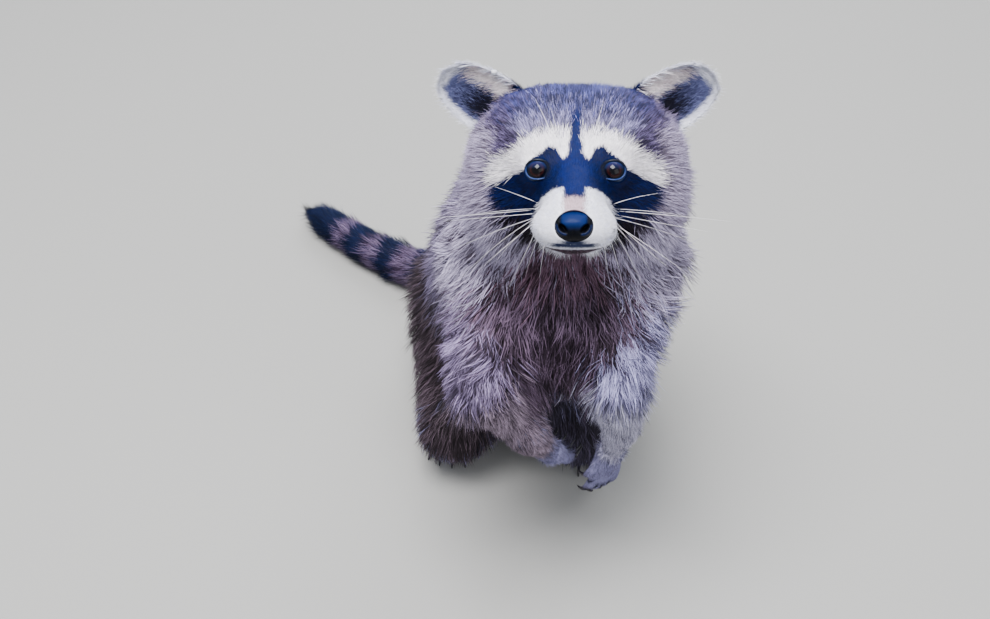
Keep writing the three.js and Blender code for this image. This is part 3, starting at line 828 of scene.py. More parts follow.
    def _digits(self, zones: Array, points: Array, parts: Array) -> None:
        """Darker ends of the digits, and painted shade in the gaps between them.

        Args:
            zones: Zone shares, changed in place.
            points: Places, in metres.
            parts: Numbers of the parts they belong to.
        """
        for paw, part in (("forepaw", Part.FOREPAWS), ("hindpaw", Part.HINDPAWS)):
            for side in ("left", "right"):
                low, high = (np.array(corner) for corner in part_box(f"{paw}_{side}"))
                palm = (low + high) / 2.0
                ends = [np.mean(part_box(f"claw_{paw}_{side}_{k}"), axis=0) for k in range(1, 6)]
                inside = (points > low - PAW_REACH * MM) & (points < high + PAW_REACH * MM)
                near = belongs(parts, part) & inside.all(1)
                share, away = zip(*[along_stretch(points, palm, end, 1.2) for end in ends])
                order = np.sort(away, axis=0) / MM
                run = np.take_along_axis(np.array(share), np.argmin(away, axis=0)[None], 0)[0]
                # Dark lines where two digits meet: painted shade in the gaps between them.
                gap_shade = ramp(0.25, 0.45, run) * ramp(1.2, 0.3, order[1] - order[0])
                self._layer(zones, Zone.DIGIT, near * ramp(0.45, 0.95, run) * 0.8)
                self._layer(zones, Zone.BETWEEN, near * gap_shade)


# ---------------------------------------------------------------- finishes


class Nodes:
    """A new material's nodes, with short ways to add and join them."""

    def __init__(self, name: str) -> None:
        """Start an empty material that ends in one Principled shader.

        Args:
            name: Name of the material.
        """
        self.material = bpy.data.materials.new(name)
        self.material.use_nodes = True
        self.tree = self.material.node_tree
        self.shader = self.tree.nodes["Principled BSDF"]

    def add(self, kind: str, **values: float | str | tuple) -> bpy.types.Node:
        """Add a node.

        Args:
            kind: Type of the node.
            values: Values for its inputs, named with _ for a space.

        Returns:
            The node.
        """
        node = self.tree.nodes.new(kind)
        for name, value in values.items():
            node.inputs[name.replace("_", " ")].default_value = value
        return node

    def math(self, operation: str, *values: float | bpy.types.NodeSocket) -> bpy.types.NodeSocket:
        """Add a node of arithmetic.

        Args:
            operation: What it does.
            values: What it does it with, each a number or the socket that gives one.

        Returns:
            The socket of its result.
        """
        node = self.add("ShaderNodeMath")
        node.operation = operation
        for value, socket in zip(values, node.inputs):
            if isinstance(value, bpy.types.NodeSocket):
                self.join(value, socket)
            else:
                socket.default_value = value
        return node.outputs[0]

    def join(self, out: bpy.types.NodeSocket, into: bpy.types.NodeSocket) -> None:
        """Link one socket to another."""
        self.tree.links.new(out, into)

    def set(self, **values: float | tuple) -> None:
        """Set plain values on the shader."""
        for name, value in values.items():
            self.shader.inputs[name.replace("_", " ")].default_value = value


def grain_group() -> bpy.types.ShaderNodeTree:
    """Fine cloudy grain: a shade that swings about 1, and the height that goes with it.

    Returns:
        The node group, made once.
    """
    name = "Fine grain"
    if name in bpy.data.node_groups:
        return bpy.data.node_groups[name]
    group = bpy.data.node_groups.new(name, "ShaderNodeTree")
    sockets = (("Scale", "INPUT"), ("Amount", "INPUT"), ("Shade", "OUTPUT"), ("Height", "OUTPUT"))
    for label, side in sockets:
        group.interface.new_socket(label, in_out=side, socket_type="NodeSocketFloat")
    add, link = group.nodes.new, group.links.new
    inside, outside = add("NodeGroupInput"), add("NodeGroupOutput")
    place, noise, spread = add("ShaderNodeTexCoord"), add("ShaderNodeTexNoise"), add("ShaderNodeMapRange")
    less, more = add("ShaderNodeMath"), add("ShaderNodeMath")
    noise.inputs["Detail"].default_value = 3.0
    less.operation, more.operation = "SUBTRACT", "ADD"
    less.inputs[0].default_value = more.inputs[0].default_value = 1.0
    spread.inputs["From Min"].default_value, spread.inputs["From Max"].default_value = 0.3, 0.7
    link(place.outputs["Object"], noise.inputs["Vector"])
    link(inside.outputs["Scale"], noise.inputs["Scale"])
    link(inside.outputs["Amount"], less.inputs[1])
    link(inside.outputs["Amount"], more.inputs[1])
    link(noise.outputs["Fac"], spread.inputs["Value"])
    link(less.outputs[0], spread.inputs["To Min"])
    link(more.outputs[0], spread.inputs["To Max"])
    link(spread.outputs["Result"], outside.inputs["Shade"])
    link(noise.outputs["Fac"], outside.inputs["Height"])
    return group


@dataclass(frozen=True)
class Finish:
    """A look that is made into a material once.

    Attributes:
        name: Name of the material.
    """

    name: str

    def material(self) -> bpy.types.Material:
        """Make the material, or take the one that is there.

        Returns:
            The material.
        """
        if self.name not in bpy.data.materials:
            self._dress(Nodes(self.name))
        return bpy.data.materials[self.name]

    def _dress(self, nodes: Nodes) -> None:
        """Add the nodes of this look to an empty material."""
        raise NotImplementedError


@dataclass(frozen=True)
class GrainedFinish(Finish):
    """A surface whose colour comes from its corners, shaded by fine grain.

    Attributes:
        roughness: How dull it is.
        scale: Fineness of the grain, in cycles for each metre.
        amount: How much the grain shades it.
        bump: Height of the grain, in metres.
        sheen: Strength of the soft edge light of hair.
        coat: Strength of a wet layer over it.
        gloss: Strength of its plain reflection.
    """

    roughness: float
    scale: float
    amount: float
    bump: float = 0.0
    sheen: float = 0.0
    coat: float = 0.0
    gloss: float = 0.2

    def _dress(self, nodes: Nodes) -> None:
        """Colour from the corners, with grain in colour, roughness and height.

        Args:
            nodes: The empty material.
        """
        colour = nodes.add("ShaderNodeAttribute")
        colour.attribute_name = "Coat"
        grain = nodes.add("ShaderNodeGroup")
        grain.node_tree = grain_group()
        grain.inputs["Scale"].default_value = self.scale
        grain.inputs["Amount"].default_value = self.amount
        shade = nodes.add("ShaderNodeVectorMath")
        shade.operation = "SCALE"
        nodes.join(colour.outputs["Color"], shade.inputs[0])
        nodes.join(grain.outputs["Shade"], shade.inputs["Scale"])
        nodes.join(shade.outputs[0], nodes.shader.inputs["Base Color"])
        rough = nodes.math("MULTIPLY", grain.outputs["Shade"], self.roughness)
        nodes.join(rough, nodes.shader.inputs["Roughness"])
        if self.bump:
            bump = nodes.add("ShaderNodeBump", Distance=self.bump, Strength=1.0)
            nodes.join(grain.outputs["Height"], bump.inputs["Height"])
            nodes.join(bump.outputs["Normal"], nodes.shader.inputs["Normal"])
        nodes.set(Sheen_Weight=self.sheen, Coat_Weight=self.coat, Coat_Roughness=0.12)
        nodes.set(Sheen_Roughness=0.4, Specular_IOR_Level=self.gloss)


@dataclass(frozen=True)
class EyeFinish(Finish):
    """A glassy eye: rings of colour by the angle from the line of sight, with fibres in the iris and a
    painted sky reflection in its upper part.

    Attributes:
        painted_reflection: Display colour of the painted sky reflection in the upper part of the glass.
        rings: Angle in radians and display colour of each ring, from the pupil outwards.
    """

    name: str = "Glass eye"
    painted_reflection: Colour = (20, 34, 78)
    rings: tuple[tuple[float, Colour], ...] = (
        (0.0, (2, 2, 5)),
        (0.29, (3, 3, 7)),
        (0.34, (16, 6, 8)),
        (0.45, (30, 11, 12)),
        (0.55, (14, 7, 12)),
        (0.62, (4, 6, 14)),
        (0.85, (6, 12, 30)),
        (1.00, (40, 52, 80)),
    )

    def _dress(self, nodes: Nodes) -> None:
        """Rings by the angle that the corners hold, moved by noise, with a painted sky reflection over their
        upper part.

        Args:
            nodes: The empty material.
        """
        sight = nodes.add("ShaderNodeAttribute")
        sight.attribute_name = "Sight"
        split = nodes.add("ShaderNodeSeparateColor")
        nodes.join(sight.outputs["Color"], split.inputs[0])
        noise = nodes.add("ShaderNodeTexNoise", Scale=9.0, Detail=4.0)
        nodes.join(sight.outputs["Vector"], noise.inputs["Vector"])
        shift = nodes.math("MULTIPLY_ADD", noise.outputs["Fac"], 0.12, -0.06)
        total = nodes.math("ADD", split.outputs[0], shift)
        rings = nodes.add("ShaderNodeValToRGB")
        bar = rings.color_ramp.elements
        for place, _ in self.rings[2:]:
            bar.new(place)
        for step, (place, colour) in zip(bar, self.rings):
            step.position = place
            step.color = (*linear(colour), 1.0)
        nodes.join(total, rings.inputs["Fac"])
        # The upper part of the glass is painted bluer: a painted reflection of the sky.
        high = nodes.add("ShaderNodeMapRange", From_Min=0.50, From_Max=0.74, To_Max=0.55)
        nodes.join(split.outputs[2], high.inputs["Value"])
        painted_reflection = nodes.add("ShaderNodeMix")
        painted_reflection.data_type = "RGBA"
        painted_reflection.inputs["B"].default_value = (*linear(self.painted_reflection), 1.0)
        nodes.join(high.outputs["Result"], painted_reflection.inputs["Factor"])
        nodes.join(rings.outputs["Color"], painted_reflection.inputs["A"])
        nodes.join(painted_reflection.outputs["Result"], nodes.shader.inputs["Base Color"])
        nodes.set(Roughness=0.4, Specular_IOR_Level=0.0, Coat_Weight=0.6, Coat_Roughness=0.02, Coat_IOR=1.36)


SKIN_FINISH = GrainedFinish("Skin under fur", 0.85, 1400.0, 0.16, bump=0.0004, gloss=0.08)
FUR_FINISH = GrainedFinish("Fur", 0.6, 500.0, 0.16, gloss=0.12)
NOSE_FINISH = GrainedFinish("Nose leather", 0.5, 1500.0, 0.10, bump=0.0002, coat=0.02, gloss=0.07)
LID_FINISH = GrainedFinish("Lid edge", 0.4, 900.0, 0.12, bump=0.00006, coat=0.06, gloss=0.12)
CLAW_FINISH = GrainedFinish("Claw horn", 0.30, 420.0, 0.18, bump=0.00005, coat=0.2)
WHISKER_FINISH = GrainedFinish("Whisker hair", 0.35, 260.0, 0.08)

LIP_COLOUR = (20, 28, 48)
SOCKET_COLOUR = (8, 12, 26)
# Lid edge: its own dark colour, and a lighter blue painted on the lower lid as a painted reflection of the
# sky.
LID_DARK_AND_SHINE_COLOURS = ((6, 10, 24), (24, 44, 90))
# Nose pad: its own near-black, a blue painted sky reflection, and darker painted shade in the nostrils.
NOSE_DARK_SHINE_AND_SHADE_COLOURS = ((1, 2, 7), (0, 20, 64), (1, 1, 4))
CLAW_COLOURS = ((34, 30, 40), (12, 12, 18))
WHISKER_COLOUR = (226, 222, 232)


# ---------------------------------------------------------------- the skin


@dataclass
class Shell:
    """A surface of triangles with what is needed to smooth it.

    Attributes:
        points: Corners, in metres.
        tris: Corner numbers of each triangle.
        edges: Corner numbers of each edge.
    """

    points: Array
    tris: Array
    edges: Array

    @classmethod
    def from_mesh(cls, mesh: bpy.types.Mesh) -> "Shell":
        """Read a mesh.

        Args:
            mesh: The mesh.

        Returns:
            Its shell.
        """
        points = np.empty(len(mesh.vertices) * 3, dtype=np.float32)
        mesh.vertices.foreach_get("co", points)
        edges = np.empty(len(mesh.edges) * 2, dtype=np.int32)
        mesh.edges.foreach_get("vertices", edges)
        mesh.calc_loop_triangles()
        tris = np.empty(len(mesh.loop_triangles) * 3, dtype=np.int32)
        mesh.loop_triangles.foreach_get("vertices", tris)
        return cls(points.reshape(-1, 3).astype(float), tris.reshape(-1, 3), edges.reshape(-1, 2))

    def mean(self, values: Array) -> Array:
        """Mean of each corner's neighbours.

        Args:
            values: One row for each corner.

        Returns:
            The means, in rows of the same kind.
        """
        count = len(self.points)
        flat = values.reshape(count, -1)
        one, two = self.edges.T
        total = np.stack(
            [
                np.bincount(one, flat[two, k], count) + np.bincount(two, flat[one, k], count)
                for k in range(flat.shape[1])
            ],
            axis=1,
        )
        degree = np.bincount(self.edges.ravel(), minlength=count)
        return (total / np.maximum(degree, 1)[:, None]).reshape(values.shape)

    def relaxed(self, values: Array, rounds: int) -> Array:
        """Smooth a field over the shell.

        Args:
            values: One row for each corner.
            rounds: How many times each value moves half way to its neighbours' mean.

        Returns:
            The smoothed field.
        """
        for _ in range(rounds):
            values = 0.5 * values + 0.5 * self.mean(values)
        return values

    def normals(self) -> Array:
        """Outward direction at each corner, weighted by area.

        Returns:
            Unit vectors.
        """
        a, b, c = (self.points[self.tris[:, k]] for k in range(3))
        face = np.cross(b - a, c - a)
        total = np.stack(
            [
                sum(np.bincount(self.tris[:, k], face[:, axis], len(self.points)) for k in range(3))
                for axis in range(3)
            ],
            axis=1,
        )
        return unit(total)

    def fair(self, rounds: Array) -> None:
        """Smooth the shell, then put back what the whole of a neighbourhood lost in size.

        Each corner moves to the mean of its neighbours once in each of its rounds, and afterwards
        outwards by the smoothed distance that it had moved inwards.

        Args:
            rounds: Rounds of each corner.
        """
        start = self.points.copy()
        for step in range(int(rounds.max())):
            share = np.clip(rounds - step, 0.0, 1.0)[:, None] * 0.8
            self.points += share * (self.mean(self.points) - self.points)
        normals = self.normals()
        lost = self.relaxed(((start - self.points) * normals).sum(1), 40)
        self.points += normals * lost[:, None]


@dataclass
class EyeSocket:
    """One eye's place and the opening between its lids.

    Attributes:
        out: 1 on the animal's left and -1 on its right.
        centre: Middle of the eyeball on the head, in millimetres.
        ball: Radius of the eyeball.
        half_width: Half the width of the opening.
        above: Height of the opening above its middle.
        below: Height of the opening below its middle.
        inner_reach: How much further the inner corner reaches.
        rim: Height of the lid's edge above the eyeball.
    """

    out: float
    centre: Array
    ball: float = 9.0
    half_width: float = 7.3
    above: float = 6.0
    below: float = 6.1
    inner_reach: float = 0.9
    rim: float = 0.75

    def axes(self) -> tuple[Array, Array, Array]:
        """Outwards, upwards and along the line of sight, on the head.

        Returns:
            Three unit vectors.
        """
        sight = unit(np.array([0.10 * self.out, -math.cos(SIGHT_DROP), math.sin(SIGHT_DROP)]))
        outwards = unit(np.cross(sight, [0.0, 0.0, 1.0])) * -1.0
        outwards = outwards * np.sign(outwards[0]) * self.out
        up = np.cross(sight, outwards) * (1.0 if np.cross(sight, outwards)[2] > 0 else -1.0)
        return outwards, up, sight

    def opening(self, turn: Array) -> Array:
        """Distance from the middle to the lid's edge: an oval a little squarer than an ellipse.

        Args:
            turn: Angle from the outer corner, rising upwards.

        Returns:
            The distances, in millimetres.
        """
        wide = self.half_width + self.inner_reach * ramp(0.3, -1.0, np.cos(turn))
        high = np.where(np.sin(turn) > 0, self.above, self.below)
        power = 2.15
        return (np.abs(np.cos(turn) / wide) ** power + np.abs(np.sin(turn) / high) ** power) ** (-1 / power)

    def polar(self, local: Array) -> tuple[Array, Array, Array]:
        """Distance from the line of sight, angle about it and distance along it.

        Args:
            local: Places on the head, in millimetres.

        Returns:
            The three, for each place.
        """
        outwards, up, sight = self.axes()
        offset = local - self.centre
        a, b = offset @ outwards, offset @ up
        return np.hypot(a, b), np.arctan2(b, a), offset @ sight

    def sculpt(self, local: Array) -> Array:
        """Lay the lids on the eyeball: places near the opening keep their direction from the eye's
        middle, and their distance goes to the ball's radius plus the rim, or inside the ball where
        they lie within the opening.

        Args:
            local: Places on the head, in millimetres.

        Returns:
            The new places.
        """
        away, turn, along = self.polar(local)
        edge = self.opening(turn)
        offset = local - self.centre
        size = np.linalg.norm(offset, axis=1)
        near = (along > 1.5) * (away < edge + 8.0)
        lid = ramp(7.0, 1.6, away - edge)
        brow = 0.8 * np.exp(-(((away - edge - 3.2) / 1.6) ** 2)) * ramp(-0.2, 0.6, np.sin(turn))
        pouch = 0.5 * np.exp(-(((away - edge - 2.8) / 1.3) ** 2)) * ramp(0.1, -0.6, np.sin(turn))
        crease = -0.7 * np.exp(-(((away - edge - 1.9) / 0.6) ** 2))
        target = size + lid * (self.ball + self.rim - size) + (brow + pouch + crease) * lid
        sunk = ramp(0.15, -0.45, away - edge)
        target = target * (1.0 - sunk) + (self.ball - 2.2) * sunk
        moved = self.centre + offset * (target / np.maximum(size, 1e-6))[:, None]
        return np.where(near[:, None], moved, local)


@dataclass(frozen=True)
class Mouth:
    """The line between the lips, from its middle back to its corner, on the animal's left.

    Attributes:
        line: Places on the head, in millimetres.
        depth: How deep the groove is.
        width: Half its width.
    """

    line: tuple[tuple[float, float, float], ...] = (
        (0, -48.2, -36.8),
        (8, -45.8, -37.1),
        (15, -39.5, -38.0),
        (20.5, -29, -38.9),
        (24.5, -16, -38.4),
        (27, -3, -36.0),
    )
    depth: float = 1.5
    width: float = 1.0

    def distance(self, local: Array) -> Array:
        """Distance from the line, on either side of the head.

        Args:
            local: Places on the head, in millimetres.

        Returns:
            The distances.
        """
        folded = local.copy()
        folded[:, 0] = np.abs(folded[:, 0])
        knots = np.array(self.line, dtype=float)
        return np.min([along_stretch(folded, *ends)[1] for ends in zip(knots[:-1], knots[1:])], axis=0)

    def height(self, local: Array) -> Array:
        """Height of the lips over the plain skin: a groove between two soft rolls.

        Args:
            local: Places on the head, in millimetres.

        Returns:
            The heights, in millimetres.
        """
        away = self.distance(local)
        groove = self.depth * np.exp(-((away / self.width) ** 2))
        roll = 0.55 * np.exp(-(((away - 2.4) / 1.2) ** 2))
        return roll - groove


ROUNDS = {
    Part.FACE: 5, Part.HEAD: 12, Part.EARS: 3, Part.NECK: 34, Part.CHEST: 34, Part.ABDOMEN: 40,
    Part.THIGHS: 34, Part.FOREARMS: 12, Part.FOREPAWS: 2, Part.HINDPAWS: 3, Part.TAIL: 10,
}
FINE_PARTS = (Part.EARS, Part.FOREPAWS, Part.HINDPAWS)


@dataclass
class Skin:
    """The one skin of the animal: a body shell, and finer shells for ears and paws sunk into it.

    Attributes:
        anatomy: The frames of body and head.
        coat: The fields of the coat.
        sockets: The two eyes.
        mouth: The line of the lips.
        voxel: Size of the body shell's cells, in millimetres.
        paw_voxel: Size of the paw shells' cells.
        swell: How much each piece of flesh grows before all become one.
        core_depth: How deep the body shell lies under the finer shells.
        outer: Corners on the coat's outline.
        normals: Outward directions there.
        shell: The skin itself.
        parts: Number of the part of each corner.
        grows: Whether each corner carries fur.
        tree: Look-up from a place to the nearest triangle of flesh.
        tree_parts: Number of the part of each of those triangles.
    """

    anatomy: Anatomy
    coat: Coat
    sockets: tuple[EyeSocket, ...]
    mouth: Mouth = field(default_factory=Mouth)
    voxel: float = 3.2
    paw_voxel: float = 1.5
    swell: float = 0.4
    core_depth: float = 2.4
    outer: Array = field(init=False)
    normals: Array = field(init=False)
    shell: Shell = field(init=False)
    parts: Array = field(init=False)
    grows: Array = field(init=False)
    tree: BVHTree = field(init=False)
    tree_parts: Array = field(init=False)

    def build(self) -> None:
        """Make the skin, coloured and finished."""
        self._index_flesh()
        pieces = [self._body_shell()]
        pieces += [self._ear_shell(EarShape(out)) for out in (1.0, -1.0)]
        pieces += [self._paw_shell(name) for part in FINE_PARTS[1:] for name in part.value]
        shells, *fields = zip(*pieces)
        points, tris = join_grids([(shell.points, shell.tris) for shell in shells])
        _, edges = join_grids([(shell.points, shell.edges) for shell in shells])
        self.shell = Shell(points, tris, edges)
        self.outer, self.normals, self.parts, self.grows = (np.concatenate(rows) for rows in fields)
        self.shell.points[:, 2] = np.maximum(self.shell.points[:, 2], 0.0)
        obj = mesh_object("skin", self.shell.points, self.shell.tris, SKIN_FINISH)
        colour_points(obj.data, self._colours())
        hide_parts(*[name for part in Part for name in part.value])
        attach(obj, "root")
        log.info("skin: %d triangles", len(self.shell.tris))

    def _flesh(self, names: list[str]) -> tuple[Array, Array]:
        """Corners and triangles of some pieces of the frame, each grown along its normals.

        Args:
            names: Names of the pieces.

        Returns:
            Joined arrays.
        """
        parts = []
        for name in names:
            mesh = bmesh.new()
            mesh.from_mesh(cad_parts[name].data)
            bmesh.ops.remove_doubles(mesh, verts=mesh.verts, dist=1e-6)
            merged = bpy.data.meshes.new("merged")
            mesh.to_mesh(merged)
            mesh.free()
            shell = Shell.from_mesh(merged)
            parts.append((shell.points + shell.normals() * self.swell * MM, shell.tris))
            bpy.data.meshes.remove(merged)
        return join_grids(parts)

    def _index_flesh(self) -> None:
        """Make the look-up from a place to the nearest piece of flesh."""
        owners, arrays = [], []
        for number, part in enumerate(PARTS):
            arrays.append(self._flesh(list(part.value)))
            owners.append(np.full(len(arrays[-1][1]), number))
        verts, tris = join_grids(arrays)
        self.tree = BVHTree.FromPolygons(verts.tolist(), tris.tolist())
        self.tree_parts = np.concatenate(owners)

    def _parts_at(self, points: Array) -> Array:
        """Number of the part nearest to each place."""
        return self.tree_parts[[self.tree.find_nearest(p)[2] for p in points.tolist()]]

    def _remesh(self, names: list[str], voxel: float) -> bpy.types.Mesh:
        """Melt some pieces of flesh into one closed mesh of even quads.

        Args:
            names: Names of the pieces.
            voxel: Size of the quads, in millimetres.

        Returns:
            The mesh.
        """
        obj = mesh_object("melt", *self._flesh(names))
        melt = obj.modifiers.new("melt", "REMESH")
        melt.mode, melt.voxel_size, melt.adaptivity = "VOXEL", voxel * MM, 0.0
        graph = bpy.context.evaluated_depsgraph_get()
        mesh = bpy.data.meshes.new_from_object(obj.evaluated_get(graph))
        bpy.data.objects.remove(obj)
        return mesh

    def _refine(self, mesh: bpy.types.Mesh) -> None:
        """Halve the cells of the face, and once more round the eyes, the nose and the mouth.

        Args:
            mesh: The mesh, changed in place.
        """
        for once_more in (False, True):
            net = bmesh.new()
            net.from_mesh(mesh)
            net.faces.ensure_lookup_table()
            middles = np.array([face.calc_center_median() for face in net.faces])
            local = self.anatomy.to_head(middles)
            side, y, z = np.abs(local[:, 0]), local[:, 1], local[:, 2]
            chosen = (y < 24) & (z > -56) & (z < 40) & (side < 60)
            if once_more:
                chosen = (y < -6) & (z > -52) & (side < 30)
                for socket in self.sockets:
                    chosen |= np.linalg.norm(local - socket.centre, axis=1) < 19
            picked = [net.faces[k] for k in np.flatnonzero(chosen)]
            edges = list({edge for face in picked for edge in face.edges})
            bmesh.ops.subdivide_edges(net, edges=edges, cuts=1, use_grid_fill=True)
            net.to_mesh(mesh)
            net.free()

    def _body_shell(self) -> tuple:
        """The shell under everything.

        Returns:
            Shell, outline corners, their normals, part numbers and where fur grows.
        """
        names = [name for part in Part for name in part.value]
        mesh = self._remesh(names + ["nose", "eye_left", "eye_right"], self.voxel)
        shell = Shell.from_mesh(mesh)
        rounds = np.array([ROUNDS[p] for p in PARTS], dtype=float)[self._parts_at(shell.points)]
        shell.fair(shell.relaxed(rounds, 4))
        mesh.vertices.foreach_set("co", shell.points.astype(np.float32).ravel())
        self._refine(mesh)
        shell = Shell.from_mesh(mesh)
        bpy.data.meshes.remove(mesh)
        local = self.anatomy.to_head(shell.points)
        face = ramp(30.0, 20.0, local[:, 1]) * ramp(-64.0, -52.0, local[:, 2]) * (np.abs(local[:, 0]) < 62)
        shell.fair(face * 8.0)
        parts = self._parts_at(shell.points)
        normals = unit(shell.relaxed(shell.normals(), 3))
        local = self.anatomy.to_head(shell.points)
        lips = self.mouth.height(local) * MM * belongs(parts, Part.FACE)
        shell.points += normals * lips[:, None]
        outer = shell.points.copy()
        depth = self._depth(outer, parts)
        depth = shell.relaxed(depth, 6)
        for socket in self.sockets:
            away, turn, along = socket.polar(local)
            depth *= np.where(along > -4, ramp(0.5, 6.0, away - socket.opening(turn)), 1.0)
        smooth = unit(shell.relaxed(shell.normals(), 10))
        shell.points = shell.points - smooth * depth[:, None]
        deep = ramp(0.003, 0.008, depth)
        for _ in range(10):
            shell.points += (0.5 * deep)[:, None] * (shell.mean(shell.points) - shell.points)
        for points in (shell.points, outer):
            points[:] = self._behind_nose(points)
        for socket in self.sockets:
            near = np.linalg.norm(local - socket.centre, axis=1) < 22
            for points in (shell.points, outer):
                spots = self.anatomy.to_head(points[near])
                points[near] = self.anatomy.on_head(socket.sculpt(spots))
        return shell, outer, normals, parts, ~belongs(parts, *FINE_PARTS)

    def _behind_nose(self, points: Array) -> Array:
        """Push the end of the muzzle back behind the nose pad, within an oval.

        Args:
            points: Places, in metres.

        Returns:
            The new places.
        """
        local = self.anatomy.to_head(points)
        oval = np.hypot(local[:, 0] / 12.2, (local[:, 2] + 25.2) / 10.2)
        limit = -50.0 - 14.0 * ramp(0.84, 1.3, oval)
        behind = local.copy()
        behind[:, 1] = np.maximum(local[:, 1], limit)
        return np.where((local[:, 1] < limit)[:, None], self.anatomy.on_head(behind), points)

    def _depth(self, outer: Array, parts: Array) -> Array:
        """How deep the skin lies under the coat's outline.

        Args:
            outer: Places on the outline, in metres.
            parts: Part numbers.

        Returns:
            Depths, in metres.
        """
        depth = self.coat.blend(outer)[1][:, 0]
        run, _ = self.coat.tail_run(outer)
        tail = np.interp(run, *TAIL_SKIN_DEPTHS) * MM
        depth = np.where(belongs(parts, Part.TAIL), tail, depth)
        return np.where(belongs(parts, *FINE_PARTS), self.core_depth * MM, depth)

    def _ear_shell(self, ear: EarShape, rows: int = 40, columns: int = 56) -> tuple:
        """One ear: rings from root to tip, convex behind and hollow in front.

        Each ring is wide by cos a; behind, it stands out by the cup times sin a, and in front it
        sinks by the hollow times sin a.

        Args:
            ear: The ear's shape.
            rows: Rings.
            columns: Corners of a ring.

        Returns:
            Shell, outline corners, their normals, part numbers and where fur grows.
        """
        root, along, across, back = ear.directions()
        t = np.linspace(0.0, 1.0, rows)[:, None]
        a = np.linspace(0.0, 2.0 * math.pi, columns, endpoint=False)
        knots = np.linspace(0.0, 1.0, 6)
        half, lean = np.interp(t, knots, EAR_HALF), np.interp(t, knots, EAR_LEAN)
        cup = np.interp(t, knots, [5.4, 9.8, 10.8, 9.3, 5.8, 1.0])
        hollow = np.interp(t, knots, [0.5, 6.4, 7.4, 5.6, 2.6, -0.8])
        middle = root + np.sin(math.pi / 2.0 * t * 0.92) / 0.992 * along + lean * across
        deep = np.where(np.sin(a) > 0, cup * np.sin(a), hollow * -np.sin(a) - 0.6)
        local = middle[:, None] + (half * np.cos(a))[..., None] * across + deep[..., None] * back
        local = local.reshape(-1, 3)
        quads = grid_faces(rows, columns)
        ends = np.stack([local[:columns].mean(0), local[-columns:].mean(0)])
        turn = np.arange(columns)
        after = (turn + 1) % columns
        last = (rows - 1) * columns
        caps = [(after, turn, len(local)), (last + turn, last + after, len(local) + 1)]
        tris = np.concatenate([quads[:, [0, 1, 2]], quads[:, [0, 2, 3]]])
        tris = np.concatenate([tris] + [np.stack([p, q, np.full(columns, m)], 1) for p, q, m in caps])
        points = self.anatomy.on_head(np.concatenate([local, ends]))
        edges = np.unique(np.sort(np.concatenate([tris[:, [0, 1]], tris[:, [1, 2]]]), axis=1), axis=0)
        shell = Shell(points, tris, edges)
        one, two, three = (points[tris[:, k]] for k in range(3))
        outwards = one + two + three - 3 * points.mean(0)
        if (np.cross(two - one, three - one) * outwards).sum() < 0:
            shell.tris = tris[:, ::-1].copy()
        shell.fair(np.full(len(points), 4.0))
        parts = np.full(len(points), PARTS.index(Part.EARS))
        share, _ = ear.coordinates(self.anatomy.to_head(shell.points))
        return shell, shell.points.copy(), shell.normals(), parts, share > 0.02

    def _paw_shell(self, name: str) -> tuple:
        """One paw, in finer cells than the body.

        Args:
            name: Name of the piece of flesh.

        Returns:
            Shell, outline corners, their normals, part numbers and where fur grows.
        """
        mesh = self._remesh([name], self.paw_voxel)
        shell = Shell.from_mesh(mesh)
        bpy.data.meshes.remove(mesh)
        shell.fair(np.full(len(shell.points), 3.0))
        part = Part.FOREPAWS if name in Part.FOREPAWS.value else Part.HINDPAWS
        parts = np.full(len(shell.points), PARTS.index(part))
        normals = shell.normals()
        outer = shell.points.copy()
        shell.points = shell.points - normals * 0.3 * MM
        return shell, outer, normals, parts, shell.points[:, 2] > BARE_SOLE * MM

    def _colours(self) -> Array:
        """Colour of the skin under the fur: that of the coat there, in the shade of long hair.

        Returns:
            Linear colours.
        """
        zones = self.coat.shares(self.outer, self.normals, self.parts)
        dark, light, share = zone_table()
        depth = np.linalg.norm(self.outer - self.shell.points, axis=1) / MM
        shade = np.interp(depth, [0.5, 3.0, 10.0], [0.90, 0.60, 0.30])[:, None]
        colour = zones @ mix(dark, light, share[:, None]) * shade
        local = self.anatomy.to_head(self.outer)
        lips = ramp(1.9, 1.0, self.mouth.distance(local)) * belongs(self.parts, Part.FACE)
        colour = mix(colour, linear(LIP_COLOUR), lips[:, None])
        for socket in self.sockets:
            away, turn, along = socket.polar(local)
            rim = ramp(1.6, 0.6, away - socket.opening(turn)) * (along > 0)
            colour = mix(colour, linear(SOCKET_COLOUR), rim[:, None])
        return colour


# ---------------------------------------------------------------- the coat


@dataclass
class Tufts:
    """What is known of the tufts of one piece, with one row for each.

    Attributes:
        face: Number of the triangle that it grows on.
        weights: Weights of its root between the triangle's corners.
        roots: Where it starts on the skin, in metres.
        above: The place on the outline over its root.
        normal: Outward direction.
        parts: Number of the part that it grows on.
        bunch: Number of its bunch.
        lie: Direction along the skin.
        depth: How far its tip stands off the skin, in metres.
        length: Its length, in metres.
        bright: Whether it is light; light ones are finer and stand higher.
    """

    face: Array
    weights: Array
    roots: Array
    above: Array
    normal: Array
    parts: Array
    bunch: Array = field(init=False)
    lie: Array = field(init=False)
    depth: Array = field(init=False)
    length: Array = field(init=False)
    bright: Array = field(init=False)


